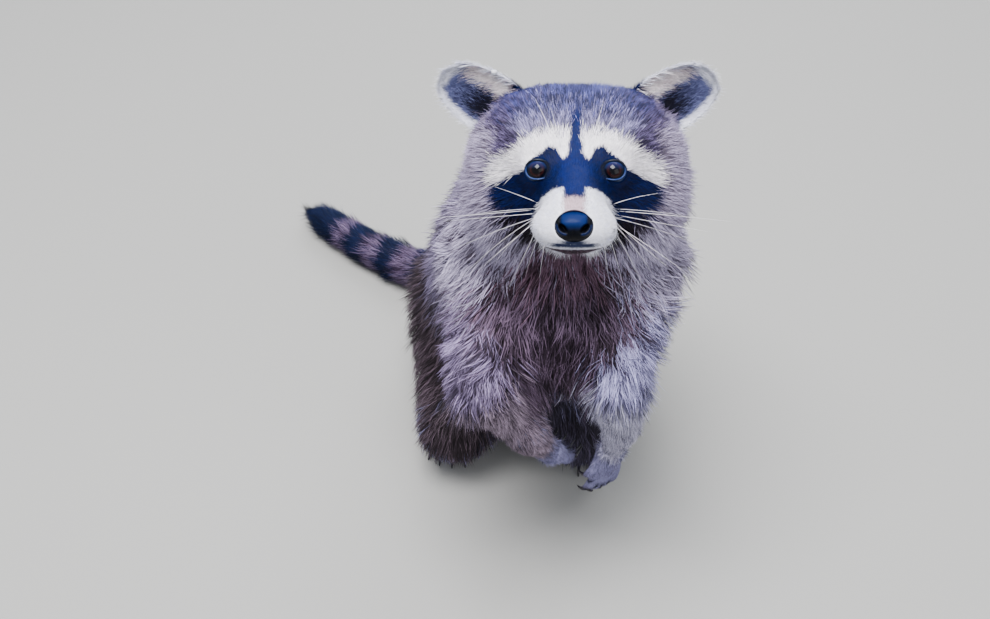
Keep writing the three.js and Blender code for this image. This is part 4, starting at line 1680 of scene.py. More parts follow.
@dataclass
class CoatPiece:
    """One stretch of the coat, as joined tufts.

    A tuft is a closed three-sided lock. Its middle line rises from the skin and bends over, at
    height length x lift x s (1 - 0.45 s) for the share s of its length, and its tips draw together
    with those of its neighbours.

    Attributes:
        name: Name of the piece.
        parts: Parts of the skin that it grows on.
        count: Number of tufts.
        seed: Picks the random draws.
        front: Least and greatest y on the head of what it grows on, in millimetres.
        bent: Whether a tuft has a bend half way; short ones are straight spikes.
        clump: Size of the bunches that tips draw together in, in millimetres.
        pull: How strongly they do.
        spread: Random turn of a tuft away from the lie, in radians.
        width: Width of a tuft of 10 mm, in millimetres.
        patch: Size of a tuft's patch on the unwrap.
        curl: How far tips bend sideways, as a share of the length.
        grizzle: How much the share of light hairs swings from bunch to bunch.
    """

    name: str
    parts: tuple[Part, ...]
    count: int
    seed: int
    front: tuple[float, float] = (-FAR, FAR)
    bent: bool = True
    clump: float = 8.0
    pull: float = 0.45
    spread: float = 0.22
    width: float = 0.42
    patch: float = 0.003
    curl: float = 0.07
    grizzle: float = 0.12

    def build(self, skin: Skin) -> None:
        """Grow the piece.

        Args:
            skin: The skin under it.
        """
        rng = np.random.default_rng(self.seed)
        tris = self._ground(skin)
        tufts = self._sow(skin, tris, rng)
        self._lay(skin, tufts)
        tufts.bunch = self._bunches(tufts.roots)
        colours = self._colours(skin, tufts, rng)
        spine, half = self._spines(tufts, rng)
        self._mesh(tufts, spine, half, colours, self._unwrap(skin, tris, tufts), rng)

    def _ground(self, skin: Skin) -> Array:
        """Triangles of the skin that the piece grows on.

        Args:
            skin: The skin.

        Returns:
            Corner numbers of each triangle.
        """
        tris = skin.shell.tris
        own = belongs(skin.parts, *self.parts) & skin.grows
        middle = skin.outer[tris].mean(1)
        local = skin.anatomy.to_head(middle)
        keep = own[tris].all(1) & (local[:, 1] >= self.front[0]) & (local[:, 1] < self.front[1])
        keep &= middle[:, 2] > BARE_UNDERSIDE * MM
        for socket in skin.sockets:
            away, turn, along = socket.polar(skin.anatomy.to_head(skin.shell.points[tris].mean(1)))
            keep &= (away > socket.opening(turn) + LID_BARE) | (along < 0)
        lip = (local[:, 1] < -36.0) & (local[:, 2] > -37.6)
        keep &= skin.mouth.distance(local) > np.where(lip, LIP_BARE, MOUTH_BARE)
        return tris[keep]

    def _sow(self, skin: Skin, tris: Array, rng: np.random.Generator) -> Tufts:
        """Spread the roots evenly over the outline's area, denser where the hair is short.

        Args:
            skin: The skin.
            tris: Triangles to grow on.
            rng: Random draws.

        Returns:
            The tufts, with their roots.
        """
        a, b, c = (skin.outer[tris[:, k]] for k in range(3))
        area = np.linalg.norm(np.cross(b - a, c - a), axis=1)
        length = skin.coat.blend((a + b + c) / 3.0)[1][:, 1]
        total = np.cumsum(area / np.clip(length, 0.003, 0.03) ** 0.7)
        spots = (np.arange(self.count) + rng.random(self.count)) / self.count * total[-1]
        face = np.minimum(np.searchsorted(total, spots), len(tris) - 1)
        u, v = rng.random((2, self.count))
        over = u + v > 1.0
        u, v = np.where(over, 1.0 - u, u), np.where(over, 1.0 - v, v)
        weights = np.stack([1.0 - u - v, u, v], axis=1)[..., None]
        pick = tris[face]
        fields = (skin.shell.points, skin.outer, skin.normals)
        roots, above, normal = ((values[pick] * weights).sum(1) for values in fields)
        return Tufts(face, weights, roots, above, unit(normal), skin.parts[pick[:, 0]])

    def _lay(self, skin: Skin, tufts: Tufts) -> None:
        """Set the direction along the skin, the depth and the length of each tuft.

        Args:
            skin: The skin.
            tufts: The tufts, changed in place.
        """
        lie, sizes, _ = skin.coat.blend(tufts.above)
        run, way = skin.coat.tail_run(tufts.above)
        tail = belongs(tufts.parts, Part.TAIL)[:, None]
        tail_sizes = np.stack([np.interp(run, *TAIL_DEPTHS), np.interp(run, *TAIL_LENGTHS)], 1)
        lie, sizes = np.where(tail, way, lie), np.where(tail, tail_sizes * MM, sizes)
        ears = belongs(tufts.parts, Part.EARS)
        if ears.any():
            lie[ears], sizes[ears] = self._ear_lie(skin, tufts.above[ears], tufts.normal[ears])
        tufts.lie = unit(lie - (lie * tufts.normal).sum(1, keepdims=True) * tufts.normal)
        tufts.depth, tufts.length = sizes.T

    def _ear_lie(self, skin: Skin, above: Array, normal: Array) -> tuple[Array, Array]:
        """On an ear the hair runs to the tip and fans out over the rim; in front, longer hair crosses
        the hollow from the inner edge.

        Args:
            skin: The skin.
            above: Places on the ears.
            normal: Outward directions.

        Returns:
            Directions, and depths with lengths.
        """
        local = skin.anatomy.to_head(above)
        lie = np.zeros_like(local)
        sizes = np.zeros((len(local), 2))
        for out in (1.0, -1.0):
            ear = EarShape(out)
            _, along, across, back = ear.directions()
            share, side = ear.coordinates(local)
            own = local[:, 0] * out > 0
            behind = normal @ skin.anatomy.axes.T @ back
            front = ramp(0.1, -0.4, behind)[:, None]
            fan = unit(along) + across * (side * np.abs(side))[:, None] * 1.1
            inner = ramp(-0.1, 0.5, side)[:, None] * front
            crossing = -across * 0.8 + unit(along) * 0.6
            way = fan * (1.0 - inner) + crossing * inner
            rim = np.maximum(ramp(0.7, 0.95, np.abs(side)), ramp(0.85, 0.97, share))
            reach = 3.6 + 3.6 * inner[:, 0] + 1.6 * front[:, 0] + 1.6 * rim
            stand = 1.0 + 0.7 * front[:, 0]
            lie = np.where(own[:, None], way @ skin.anatomy.axes, lie)
            sizes = np.where(own[:, None], np.stack([stand, reach], 1) * MM, sizes)
        return lie, sizes

    def _spines(self, tufts: Tufts, rng: np.random.Generator) -> tuple[Array, Array]:
        """Middle line and half width of each tuft.

        Args:
            tufts: The tufts.
            rng: Random draws.

        Returns:
            Places in rows from root to tip, and half widths.
        """
        normal, lie, bright, count = tufts.normal, tufts.lie, tufts.bright, len(tufts.roots)
        turn = rng.normal(0.0, self.spread, count)[:, None]
        side = np.cross(normal, lie)
        way = lie * np.cos(turn) + side * np.sin(turn)
        stray = rng.random(count) < 0.05
        length = tufts.length * rng.uniform(0.72, 1.12, count) * np.where(stray, 1.15, 1.0)
        stand = 1.85 if self.bent else 1.0
        lift = np.clip(stand * tufts.depth / length, 0.06, 0.85) * rng.uniform(0.75, 1.1, count)
        lift = lift * np.where(bright, 1.12, 0.88)
        lift = np.clip(np.where(stray, lift * 1.35, lift), 0.04, 0.92)
        flat = np.sqrt(1.0 - lift**2)
        steps = np.array([0.0, 0.5, 1.0] if self.bent else [0.0, 1.0])
        rise = steps * (1.0 - 0.45 * steps) if self.bent else steps
        spine = tufts.roots[:, None] + (length[:, None] * steps * flat[:, None])[..., None] * way[:, None]
        spine = spine + (length[:, None] * rise * lift[:, None])[..., None] * normal[:, None]
        curl = rng.normal(0.0, self.curl, count) * length
        spine = spine + (curl[:, None] * steps**2)[..., None] * np.cross(normal, way)[:, None]
        if self.pull:
            spine = spine + self._gather(tufts.bunch, spine[:, -1], length, rng) * (steps**1.6)[:, None]
        spine[:, 0] -= normal * 0.25 * MM
        half = 0.5 * self.width * MM * (length / (10 * MM)) ** 0.5 * rng.uniform(0.7, 1.35, count)
        half = half * np.where(bright, 0.82 if self.bent else 1.0, 1.15)
        spine[..., 2] = np.maximum(spine[..., 2], SPINE_CLEAR * MM)
        return spine, half

    def _bunches(self, roots: Array) -> Array:
        """Number of the bunch that each tuft belongs to: cells of a grid whose walls a noise bends.

        Args:
            roots: Where the tufts start.

        Returns:
            The numbers.
        """
        cell = self.clump * MM
        bend = np.stack([smooth_noise(roots, 2.2 * self.clump, 40 + k) for k in range(3)], 1)
        grid = np.floor((roots + 0.45 * cell * bend) / cell).astype(np.int64)
        return np.unique(grid @ np.array([1, 4093, 16769023]), return_inverse=True)[1]

    def _gather(
        self, bunch: Array, tips: Array, length: Array, rng: np.random.Generator
    ) -> Array:
        """How far each tip moves to the mean tip of its bunch, which also sways as one.

        Args:
            bunch: Number of each tuft's bunch.
            tips: Where they end.
            length: Their lengths.
            rng: Random draws.

        Returns:
            Moves, in metres, with an axis for the places along the tuft.
        """
        size = np.bincount(bunch)
        mean = np.stack([np.bincount(bunch, tips[:, k]) / size for k in range(3)], 1)
        sway = rng.normal(0.0, 1.2 * self.curl, (len(size), 3))[bunch] * length[:, None]
        drawn = (self.pull * rng.uniform(0.5, 1.2, len(tips)))[:, None] * (mean[bunch] - tips)
        return (drawn + sway)[:, None]

    def _colours(self, skin: Skin, tufts: Tufts, rng: np.random.Generator) -> Array:
        """Colour of each tuft at its root, its middle and its tip; it also settles which are light.

        A tuft belongs to one zone, drawn by the shares at the place that its outer half covers, and
        is light or dark by the zone's share of light hairs.

        Args:
            skin: The skin.
            tufts: The tufts.
            rng: Random draws.

        Returns:
            Linear colours, three for each tuft.
        """
        above, length, bunch = tufts.above, tufts.length, tufts.bunch
        covered = above + tufts.lie * (0.55 * length)[:, None]
        steps = np.cumsum(skin.coat.shares(covered, tufts.normal, tufts.parts), axis=1)
        zone = (rng.random(len(above))[:, None] * steps[:, -1:] > steps).sum(1)
        zone = np.minimum(zone, len(ZONES) - 1)
        dark, light, share = (values[zone] for values in zone_table())
        patch = 0.12 * smooth_noise(above, 30.0, 5) + 0.10 * smooth_noise(above, 11.0, 6)
        uneven = self.grizzle * rng.normal(0.0, 1.0, bunch.max() + 1)[bunch]
        tufts.bright = rng.random(len(above)) < np.clip(share + patch + uneven, 0.02, 0.98)
        level = np.where(tufts.bright, rng.uniform(0.58, 1.0, len(above)), rng.uniform(0.0, 0.26, len(above)))
        tone = rng.lognormal(0.0, 0.12, len(above)) * rng.lognormal(0.0, 0.12, bunch.max() + 1)[bunch]
        shade = np.interp(length / MM, [3.0, 8.0, 25.0], [0.85, 0.5, 0.3])[:, None]
        middle = np.interp(length / MM, [3.0, 8.0, 25.0], [1.0, 0.75, 0.6])
        root = mix(dark, light, (0.5 * share)[:, None]) * shade
        mid, tip = (mix(dark, light, value[:, None]) for value in (level * middle, level))
        return np.stack([root, mid * tone[:, None], tip * tone[:, None]], axis=1)

    def _unwrap(self, skin: Skin, tris: Array, tufts: Tufts) -> Array:
        """Place of each root on an unwrap of the ground that it grows on.

        Args:
            skin: The skin.
            tris: Triangles grown on.
            tufts: The tufts.

        Returns:
            Coordinates on the unwrap.
        """
        used, again = np.unique(tris, return_inverse=True)
        ground = mesh_object("ground", skin.outer[used], again.reshape(-1, 3))
        bpy.context.view_layer.objects.active = ground
        ground.select_set(True)
        bpy.ops.object.mode_set(mode="EDIT")
        bpy.ops.mesh.select_all(action="SELECT")
        bpy.ops.uv.smart_project(angle_limit=math.radians(70.0), island_margin=0.004)
        bpy.ops.object.mode_set(mode="OBJECT")
        flat = np.empty(len(tris) * 6, dtype=np.float32)
        ground.data.uv_layers.active.data.foreach_get("uv", flat)
        bpy.data.objects.remove(ground)
        return (flat.reshape(-1, 3, 2)[tufts.face] * tufts.weights).sum(1)

    def _mesh(
        self, tufts: Tufts, spine: Array, half: Array, colours: Array,
        rooted: Array, rng: np.random.Generator,
    ) -> None:
        """Put the tufts into one mesh: rings of three corners, a closed foot and a point.

        Args:
            tufts: The tufts.
            spine: Middle lines.
            half: Half widths.
            colours: Colours at root, middle and tip.
            rooted: Roots on the unwrap.
            rng: Random draws.
        """
        count, rings = len(spine), spine.shape[1] - 1
        roll = rng.uniform(-0.7, 0.7, count)
        around = np.radians([90.0, 210.0, 330.0]) + roll[:, None]
        corners, outwards = [], []
        for ring in range(rings):
            ahead = unit(spine[:, min(ring + 1, rings)] - spine[:, max(ring - 1, 0)])
            side = unit(np.cross(ahead, tufts.normal))
            up = np.cross(side, ahead)
            spoke = side[:, None] * np.cos(around)[..., None] + up[:, None] * 0.5 * np.sin(around)[..., None]
            width = half * (1.0, 0.72)[ring]
            corners.append(spine[:, ring, None] + spoke * width[:, None, None])
            outwards.append(spoke)
        places = np.concatenate(corners + [spine[:, -1:]], axis=1)
        places[..., 2] = np.maximum(places[..., 2], TUFT_CLEAR * MM)
        each = 3 * rings + 1
        foot = [[0, 1, 2]]
        walls = [f for k in range(rings - 1) for j in range(3) for f in self._wall(3 * k, j)]
        point = [[each - 4 + (j + 1) % 3, each - 4 + j, each - 1] for j in range(3)]
        pattern = np.array(foot + walls + point)
        faces = (pattern + each * np.arange(count)[:, None, None]).reshape(-1, 3)
        obj = mesh_object(self.name, places.reshape(-1, 3), faces, FUR_FINISH)
        index = [0] * 3 + ([1] * 3 if rings == 2 else []) + [2]
        colour_points(obj.data, colours[:, index].reshape(-1, 3))
        shading = np.concatenate(outwards + [np.zeros((count, 1, 3))], axis=1)
        shading = unit(shading * 0.55 + tufts.normal[:, None])
        obj.data.normals_split_custom_set_from_vertices(shading.reshape(-1, 3).tolist())
        spots = [(-0.5, -0.5), (0.5, -0.5), (0.0, -0.3), (-0.4, 0.1), (0.4, 0.1), (0.0, 0.2)]
        offset = np.array(spots[: 3 * rings] + [(0.0, 0.5)]) * self.patch
        uv = (rooted[:, None] + offset).reshape(-1, 2)[faces.ravel()]
        layer = obj.data.uv_layers.new(name="OFBake")
        layer.data.foreach_set("uv", uv.astype(np.float32).ravel())
        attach(obj, "root")
        log.info("%s: %d tufts, %d triangles", self.name, count, len(faces))

    @staticmethod
    def _wall(start: int, j: int) -> list[list[int]]:
        """Two triangles between one ring of three and the next."""
        k = (j + 1) % 3
        return [[start + k, start + j, start + 3 + j], [start + k, start + 3 + j, start + 3 + k]]


# ---------------------------------------------------------------- eyes, nose, whiskers, claws


@dataclass
class Eye:
    """An eyeball with a bulging cornea, and the wet edges of its lids.

    Attributes:
        socket: Where it sits.
        anatomy: The frames of body and head.
        bulge: How far the cornea stands out, in millimetres.
        lid: Thickness of the lid's edge above and below.
    """

    socket: EyeSocket
    anatomy: Anatomy
    bulge: float = 0.8
    lid: tuple[float, float] = (0.85, 0.62)

    def build(self, side: str) -> None:
        """Make the ball and the lid edge.

        Args:
            side: left or right.
        """
        ball, rim = self._ball(f"eyeball_{side}"), self._rim(f"lid_edge_{side}")
        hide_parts(f"eye_{side}")
        for obj, slot in ((ball, "eye_glass"), (rim, "dark_coat")):
            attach(obj, "root")
            log.info("%s: %d faces", obj.name, len(obj.data.polygons))

    def _ball(self, name: str) -> bpy.types.Object:
        """A sphere about the line of sight whose radius grows by bulge x exp(-(angle / 0.5)^2).

        Args:
            name: Name of the piece.

        Returns:
            The object.
        """
        outwards, up, sight = self.socket.axes()
        rows, columns = 72, 96
        angle = np.linspace(0.002, math.pi - 0.002, rows)[:, None]
        turn = np.linspace(0.0, 2.0 * math.pi, columns, endpoint=False)
        radius = self.socket.ball + self.bulge * np.exp(-((angle / 0.5) ** 2))
        way = (
            np.cos(angle)[..., None] * sight
            + (np.sin(angle) * np.cos(turn))[..., None] * outwards
            + (np.sin(angle) * np.sin(turn))[..., None] * up
        )
        local = (self.socket.centre + radius[..., None] * way).reshape(-1, 3)
        faces = grid_faces(rows, columns)
        if np.dot(np.cross(outwards, up), sight) > 0:
            faces = faces[:, ::-1]
        obj = mesh_object(name, self.anatomy.on_head(local), faces, EyeFinish())
        spread = np.broadcast_to(angle, (rows, columns))
        out = np.minimum(spread, 1)
        marks = np.stack([spread, 0.5 + 0.5 * np.cos(turn) * out, 0.5 + 0.5 * np.sin(turn) * out], -1)
        colour_points(obj.data, marks.reshape(-1, 3), "Sight")
        return obj

    def _rim(self, name: str) -> bpy.types.Object:
        """A closed roll round the opening, on the ball: thicker above than below.

        Args:
            name: Name of the piece.

        Returns:
            The object.
        """
        outwards, up, sight = self.socket.axes()
        turn = np.linspace(0.0, 2.0 * math.pi, 96, endpoint=False)
        round_ = np.linspace(0.0, 2.0 * math.pi, 12, endpoint=False)
        away = self.socket.opening(turn) + 0.1
        upper = ramp(-0.3, 0.5, np.sin(turn))
        thick = self.lid[1] + (self.lid[0] - self.lid[1]) * upper
        spoke = np.cos(turn)[:, None] * outwards + np.sin(turn)[:, None] * up
        rise = np.sqrt((self.socket.ball + 0.45) ** 2 - away**2)
        middle = self.socket.centre + spoke * away[:, None] + sight * rise[:, None]
        away_from = unit(middle - self.socket.centre)
        aside = unit(spoke - (spoke * away_from).sum(1, keepdims=True) * away_from)
        ring = (
            middle[:, None]
            + away_from[:, None] * (thick[:, None] * np.cos(round_))[..., None]
            + aside[:, None] * (thick[:, None] * np.sin(round_))[..., None]
        )
        faces = grid_faces(97, 12)
        faces = faces % (96 * 12)
        obj = mesh_object(name, self.anatomy.on_head(ring.reshape(-1, 3)), faces, LID_FINISH)
        face_outwards(obj)
        # The inside of the lower lid's edge is painted lighter blue: a painted reflection of the sky on its
        # wet rim.
        low = np.repeat(1.0 - upper, 12)[:, None] * np.tile(ramp(0.3, -0.9, np.sin(round_)), 96)[:, None]
        colour_points(obj.data, mix(*linear(LID_DARK_AND_SHINE_COLOURS), low))
        return obj


@dataclass
class Nose:
    """The bare pad of the nose, on the end of the muzzle.

    Attributes:
        anatomy: The frames of body and head.
        centre: Middle of the pad's back, on the head, in millimetres.
        half_width: Half its width.
        above: Height over the centre.
        below: Height under the centre.
        reach: How far it stands forward.
        nostril: Middle of the left nostril: across, up.
    """

    anatomy: Anatomy
    centre: tuple[float, float, float] = (0.0, -49.4, -25.0)
    half_width: float = 12.2
    above: float = 9.4
    below: float = 10.6
    reach: float = 9.2
    nostril: tuple[float, float] = (6.6, -0.6)

    def build(self) -> None:
        """A grid from the middle of the front to the rim.

        At share r of the way out and angle v, the place is centre + r x (width cos v, height sin v),
        narrower below, and it stands forward by reach x (1 - r^2.7)^(1/2). The nostrils are slanting
        holes of gaussian section under a fold, a roll curves round each, and a groove runs down.
        """
        rows, columns = 64, 128
        r = np.linspace(0.004, 1.0, rows)[:, None] ** 0.85
        turn = np.linspace(0.0, 2.0 * math.pi, columns, endpoint=False)
        height = np.where(np.sin(turn) > 0, self.above, self.below)
        power = 2.35
        rim = (np.abs(np.cos(turn)) ** power + np.abs(np.sin(turn)) ** power) ** (-1 / power)
        z = r * rim * height * np.sin(turn)
        drawn_in = 1.0 - 0.14 * ramp(0.3, 1.0, z / self.above)
        x = r * rim * self.half_width * np.cos(turn) * drawn_in
        y = -self.reach * np.sqrt(np.clip(1.0 - r**2.7, 0.0, 1.0)) + 0.0 * turn
        y = y + 2.6 * ramp(0.1, 1.0, z / self.above) * r + 1.2 * ramp(-0.2, -1.0, z / self.below) * r
        y = y + self._hollows(x, z)
        back = np.where(r >= 1.0, 3.5, 0.0)
        local = np.stack([x, y + back, z], -1) + np.array(self.centre)
        local = local.reshape(-1, 3)
        faces = grid_faces(rows, columns)
        obj = mesh_object("nose_pad", self.anatomy.on_head(local), faces, NOSE_FINISH)
        face_outwards(obj, close=True)
        # The top of the pad and the rolls round the nostrils are painted blue as a painted sky reflection,
        # and the nostrils darker as painted shade.
        deep = ramp(0.4, 1.8, self._hollows(x, z)).reshape(-1, 1)
        dome = ramp(-0.25, 0.35, z / self.above) * ramp(9.0, 6.4, np.abs(x))
        lit = np.maximum(dome, 0.55 * ramp(0.25, 0.8, self._wing(x, z))).reshape(-1, 1)
        shaded, blue, hollow = linear(NOSE_DARK_SHINE_AND_SHADE_COLOURS)
        colour_points(obj.data, mix(mix(shaded, blue, lit), hollow, deep))
        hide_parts("nose")
        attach(obj, "root")
        log.info("nose_pad: %d faces", len(obj.data.polygons))

    def _hollows(self, x: Array, z: Array) -> Array:
        """Depth of nostrils and middle groove, less the wing over each nostril.

        Args:
            x: Distance to the side.
            z: Height over the centre.

        Returns:
            Depths, in millimetres.
        """
        side, high = np.abs(x) - self.nostril[0], z - self.nostril[1]
        along, over = 0.70 * (side + high), 0.70 * (side - high)
        hole = 4.2 * np.exp(-(((along / 2.7) ** 2 + (over / 1.5) ** 2) ** 1.4))
        fold = 0.6 * np.exp(-(((side - 1.9) / 0.7) ** 2)) * ramp(0.5, 2.5, high) * ramp(7.5, 4.5, high)
        groove = 0.7 * np.exp(-((x / 0.7) ** 2)) * ramp(0.0, -4.0, z)
        return np.maximum(hole, fold) + groove - 0.8 * self._wing(x, z)

    def _wing(self, x: Array, z: Array) -> Array:
        """Share of the roll that curves round the outside of each nostril and in under it.

        Args:
            x: Distance to the side.
            z: Height over the centre.

        Returns:
            The shares, from 0 to 1.
        """
        side, high = np.abs(x) - self.nostril[0] + 1.2, z - self.nostril[1] - 1.4
        away = np.hypot(side, high)
        turn = np.arctan2(high, side)
        return np.exp(-(((away - 5.2) / 1.1) ** 2)) * ramp(0.35, -0.1, turn) * ramp(-2.1, -1.5, turn)


@dataclass
class Whiskers:
    """Long white hairs on the lips and brows, each a tapered tube that bends under its own weight.

    Attributes:
        skin: The skin that they stand in.
        rows: Root on the face plane, the end on it and how far back the end lies, in millimetres.
        thickness: Radius at the root.
    """

    skin: Skin
    thickness: float = 0.15
    rows: tuple[tuple[float, float, float, float, float], ...] = (
        (27.5, -27.0, 100.0, -26.5, 26.0),
        (26.5, -29.5, 86.0, -33.0, 22.0),
        (27.0, -25.5, 70.0, -22.0, 20.0),
        (26.0, -23.0, 54.0, -9.5, 10.0),
        (27.5, -33.5, 62.0, -58.0, 16.0),
        (26.5, -35.5, 74.0, -66.0, 22.0),
        (25.0, -38.0, 50.0, -62.0, 6.0),
        (24.0, -40.5, 44.0, -72.0, 4.0),
        (21.5, -43.5, 30.0, -69.0, -14.0),
        (19.0, -46.0, 22.0, -66.0, -22.0),
        (24.5, -31.0, 78.0, -45.0, 34.0),
        (9.0, 13.0, 17.0, 44.0, 10.0),
        (12.5, 14.0, 26.0, 42.0, 12.0),
    )

    def build(self) -> None:
        """Make them all as one mesh."""
        anatomy = self.skin.anatomy
        tree = BVHTree.FromPolygons(self.skin.shell.points.tolist(), self.skin.shell.tris.tolist())
        sight = anatomy.axes.T @ np.array([0.0, math.cos(SIGHT_DROP), -math.sin(SIGHT_DROP)])
        rng = np.random.default_rng(77)
        tubes = []
        for row in self.rows:
            for out in (1.0, -1.0):
                vary = rng.uniform(-1.0, 1.0, 5)
                start = anatomy.from_face_plane(out * row[0] + vary[0] * 0.6, row[1] + vary[1] * 0.6, -110.0)
                hit = tree.ray_cast(Vector(anatomy.on_head(start)), Vector(sight))[0]
                if hit is None:
                    continue
                across = out * row[2] * (1 + 0.04 * vary[2])
                end = anatomy.from_face_plane(across, row[3] + 4 * vary[3], row[4] + 4 * vary[4])
                root, tip = np.array(hit) + sight * WHISKER_ROOT * MM, anatomy.on_head(end)
                s = np.linspace(0.0, 1.0, 16)[:, None]
                reach = np.linalg.norm(tip - root)
                arch = anatomy.axes[2] * 0.07 * reach * (vary[2] * 0.6 + 0.7)
                arch = arch - anatomy.axes[1] * 0.10 * reach
                path = root + (tip - root) * s + arch * (4.0 * s * (1.0 - s)) * 0.6
                radius = self.thickness * MM * (1.0 - 0.86 * s[:, 0] ** 1.2)
                tubes.append(tube_grid(path, radius, 6))
        verts, faces = join_grids(tubes)
        obj = mesh_object("whiskers", verts, faces, WHISKER_FINISH)
        colour_points(obj.data, np.tile(linear(WHISKER_COLOUR), (len(verts), 1)))
        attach(obj, "root")
        log.info("whiskers: %d hairs", len(tubes))


@dataclass
class Claws:
    """The five curved claws of each paw, in the places of the frame's claws.

    Attributes:
        rows: Rings along a claw.
        sides: Corners of a ring.
        radius: Radius at the root, in millimetres.
    """

    rows: int = 14
    sides: int = 12
    radius: float = 1.35

    def build(self) -> None:
        """Make one piece for each paw."""
        for paw in ("forepaw", "hindpaw"):
            for side in ("left", "right"):
                nodes = [f"claw_{paw}_{side}_{k}" for k in range(1, 6)]
                verts, faces = join_grids([self._claw(name) for name in nodes])
                obj = mesh_object(f"claws_{paw}_{side}", verts, faces, CLAW_FINISH)
                share = np.tile(np.repeat(np.linspace(0, 1, self.rows + 2), self.sides), 5)[:, None]
                colour_points(obj.data, mix(*linear(CLAW_COLOURS), share))
                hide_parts(*nodes)
                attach(obj, "root")
                log.info("%s: 5 claws", obj.name)

    def _claw(self, name: str) -> tuple[Array, Array]:
        """A cone along the frame's claw: its own middle line, deepest at the root, with a fine point.

        Args:
            name: Name of the frame's claw.

        Returns:
            Vertices and quads.
        """
        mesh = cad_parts[name].data
        flat = np.empty(len(mesh.vertices) * 3, dtype=np.float32)
        mesh.vertices.foreach_get("co", flat)
        points = flat.reshape(-1, 3).astype(float)
        middle = points.mean(0)
        _, _, axes = np.linalg.svd(points - middle, full_matrices=False)
        run = (points - middle) @ axes[0]
        low, high = points[run < np.quantile(run, 0.25)], points[run > np.quantile(run, 0.75)]
        if np.ptp(low, axis=0).sum() < np.ptp(high, axis=0).sum():
            low, high = high, low
        centre = points[np.abs(run) < np.ptp(run) * 0.25]
        start, end = low.mean(0), high.mean(0)
        bend = centre.mean(0) if len(centre) else (start + end) / 2
        s = np.linspace(-0.22, 1.12, self.rows)[:, None]
        path = start * (1 - s) * (1 - 2 * s) + bend * 4 * s * (1 - s) + end * s * (2 * s - 1)
        path[:, 2] = np.maximum(path[:, 2], CLAW_AXIS_CLEAR * MM)
        share = np.linspace(0.0, 1.0, self.rows)
        radius = self.radius * MM * (1.0 - share**1.6) ** 0.8 + 0.00008
        verts, faces = tube_grid(path, radius, self.sides, 1.15)
        verts[:, 2] = np.maximum(verts[:, 2], CLAW_CLEAR * MM)
        return verts, faces


# ---------------------------------------------------------------- camera and light


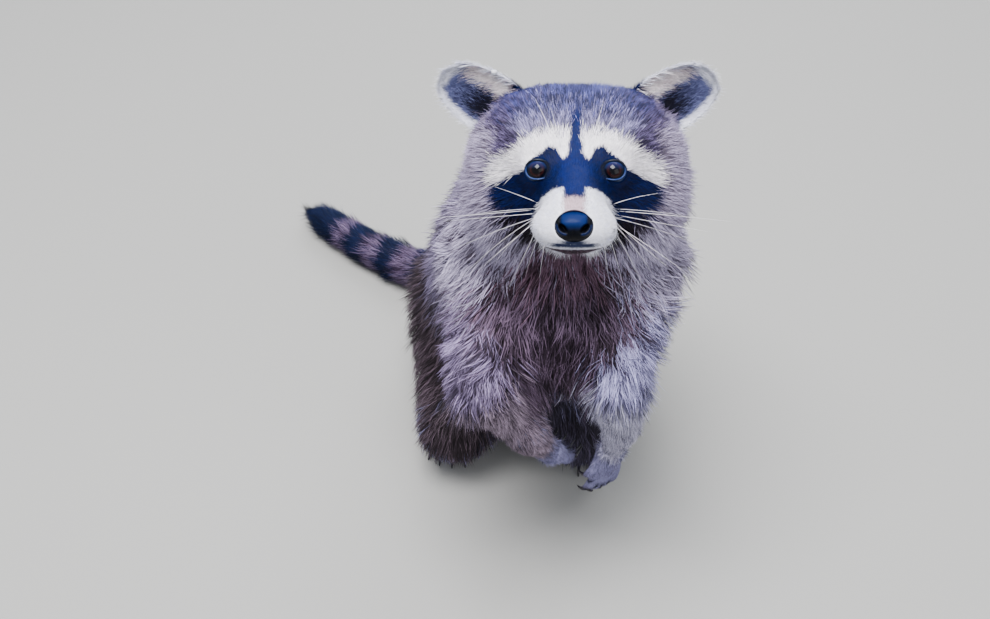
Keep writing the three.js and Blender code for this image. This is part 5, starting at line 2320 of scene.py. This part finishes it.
@dataclass
class Studio:
    """Floor, soft lights and the camera.

    Attributes:
        anatomy: The frames of body and head.
        eye: Camera's place in the body's frame, in millimetres.
        turn: Its rotation, in degrees.
        lens: Its focal length.
    """

    anatomy: Anatomy
    eye: tuple[float, float, float] = (-2.0, -682.0, 933.0)
    turn: tuple[float, float, float] = (45.13, 0.0, 4.46)
    lens: float = 50.0

    def build(self) -> None:
        """Make the floor, the lights, the sky and the camera."""
        self._floor()
        self._light("key", (-0.3, -0.3, 2.3), 1.3, 175.0, (1.0, 0.985, 0.97))
        self._light("fill", (1.3, -1.5, 1.3), 1.8, 24.0, (1.0, 0.99, 0.98))
        self._light("back", (0.3, 1.7, 1.8), 1.6, 48.0, (0.96, 0.98, 1.0))
        world = bpy.data.worlds.new("Soft sky")
        world.use_nodes = True
        sky = world.node_tree.nodes["Background"]
        sky.inputs["Color"].default_value = (0.90, 0.94, 1.0, 1.0)
        sky.inputs["Strength"].default_value = 0.80
        bpy.context.scene.world = world
        camera = bpy.data.cameras.new("camera")
        camera.lens, camera.sensor_width = self.lens, 36.0
        seat = bpy.data.objects.new("camera", camera)
        seat.location = self.anatomy.on_body(self.eye)
        seat.rotation_euler = [math.radians(a) for a in self.turn]
        bpy.context.scene.collection.objects.link(seat)
        bpy.context.scene.camera = seat

    def _floor(self) -> None:
        """A wide pale floor."""
        half = 4.0
        corners = np.array([[-half, -half, 0], [half, -half, 0], [half, half, 0], [-half, half, 0]])
        floor = mesh_object("floor", corners - [0, 0, FLOOR_DROP * MM], np.array([[0, 1, 2, 3]]))
        nodes = Nodes("Pale floor")
        nodes.set(Base_Color=(0.25, 0.25, 0.247, 1.0), Roughness=0.75)
        floor.data.materials.append(nodes.material)

    def _light(self, name: str, place: tuple, size: float, power: float, tint: tuple) -> None:
        """One soft square light that faces the head.

        Args:
            name: Its name.
            place: Where, in metres from the point between the eyes on the floor.
            size: Width of the light, in metres.
            power: Watts.
            tint: Its colour.
        """
        lamp = bpy.data.lights.new(name, "AREA")
        lamp.size, lamp.energy, lamp.color = size, power, tint
        obj = bpy.data.objects.new(name, lamp)
        aim = Vector(self.anatomy.on_body((-20.0, 40.0, 220.0)))
        obj.location = Vector(place) + Vector((aim.x, aim.y, 0.0))
        obj.rotation_euler = (aim - obj.location).to_track_quat("-Z", "Y").to_euler()
        bpy.context.scene.collection.objects.link(obj)


COAT_PIECES = (
    CoatPiece(
        "coat_face", (Part.FACE, Part.HEAD), 47000, 1, (-FAR, FACE_END),
        bent=False, clump=2.0, pull=0.0, spread=0.22, width=0.54, grizzle=0.40,
    ),
    CoatPiece(
        "coat_head", (Part.HEAD,), 46000, 2, (FACE_END, FAR),
        bent=False, clump=2.4, pull=0.15, spread=0.28, width=0.60, grizzle=0.36,
    ),
    CoatPiece(
        "coat_ears", (Part.EARS,), 30000, 3,
        bent=False, clump=2.4, pull=0.15, width=0.36, grizzle=0.2,
    ),
    CoatPiece(
        "coat_neck", (Part.NECK,), 19000, 4,
        clump=9.0, pull=0.5, spread=0.30, curl=0.10, grizzle=0.16,
    ),
    CoatPiece(
        "coat_chest", (Part.CHEST,), 19400, 5,
        clump=9.0, pull=0.5, spread=0.28, curl=0.10, grizzle=0.16,
    ),
    CoatPiece("coat_rump", (Part.ABDOMEN,), 14000, 6),
    CoatPiece("coat_thighs", (Part.THIGHS,), 13500, 7),
    CoatPiece(
        "coat_forearms", (Part.FOREARMS,), 32000, 8,
        bent=False, clump=2.4, pull=0.12, spread=0.24, width=0.56, grizzle=0.36,
    ),
    CoatPiece(
        "coat_paws", (Part.FOREPAWS, Part.HINDPAWS), 24000, 9,
        bent=False, clump=1.8, pull=0.0, spread=0.18, width=0.5, grizzle=0.3,
    ),
    CoatPiece("coat_tail", (Part.TAIL,), 12500, 10, clump=6.0, pull=0.3),
)


def main() -> None:
    """Build the raccoon piece by piece."""
    anatomy = Anatomy.from_frame()
    Studio(anatomy).build()
    coat = Coat(anatomy)
    sockets = tuple(EyeSocket(out, np.array([23.6 * out, 3.6, -0.6])) for out in (1.0, -1.0))
    skin = Skin(anatomy, coat, sockets)
    skin.build()
    for socket, side in zip(sockets, ("left", "right")):
        Eye(socket, anatomy).build(side)
    Nose(anatomy).build()
    Whiskers(skin).build()
    Claws().build()
    for piece in COAT_PIECES:
        piece.build(skin)


if __name__ == "__main__":
    main()
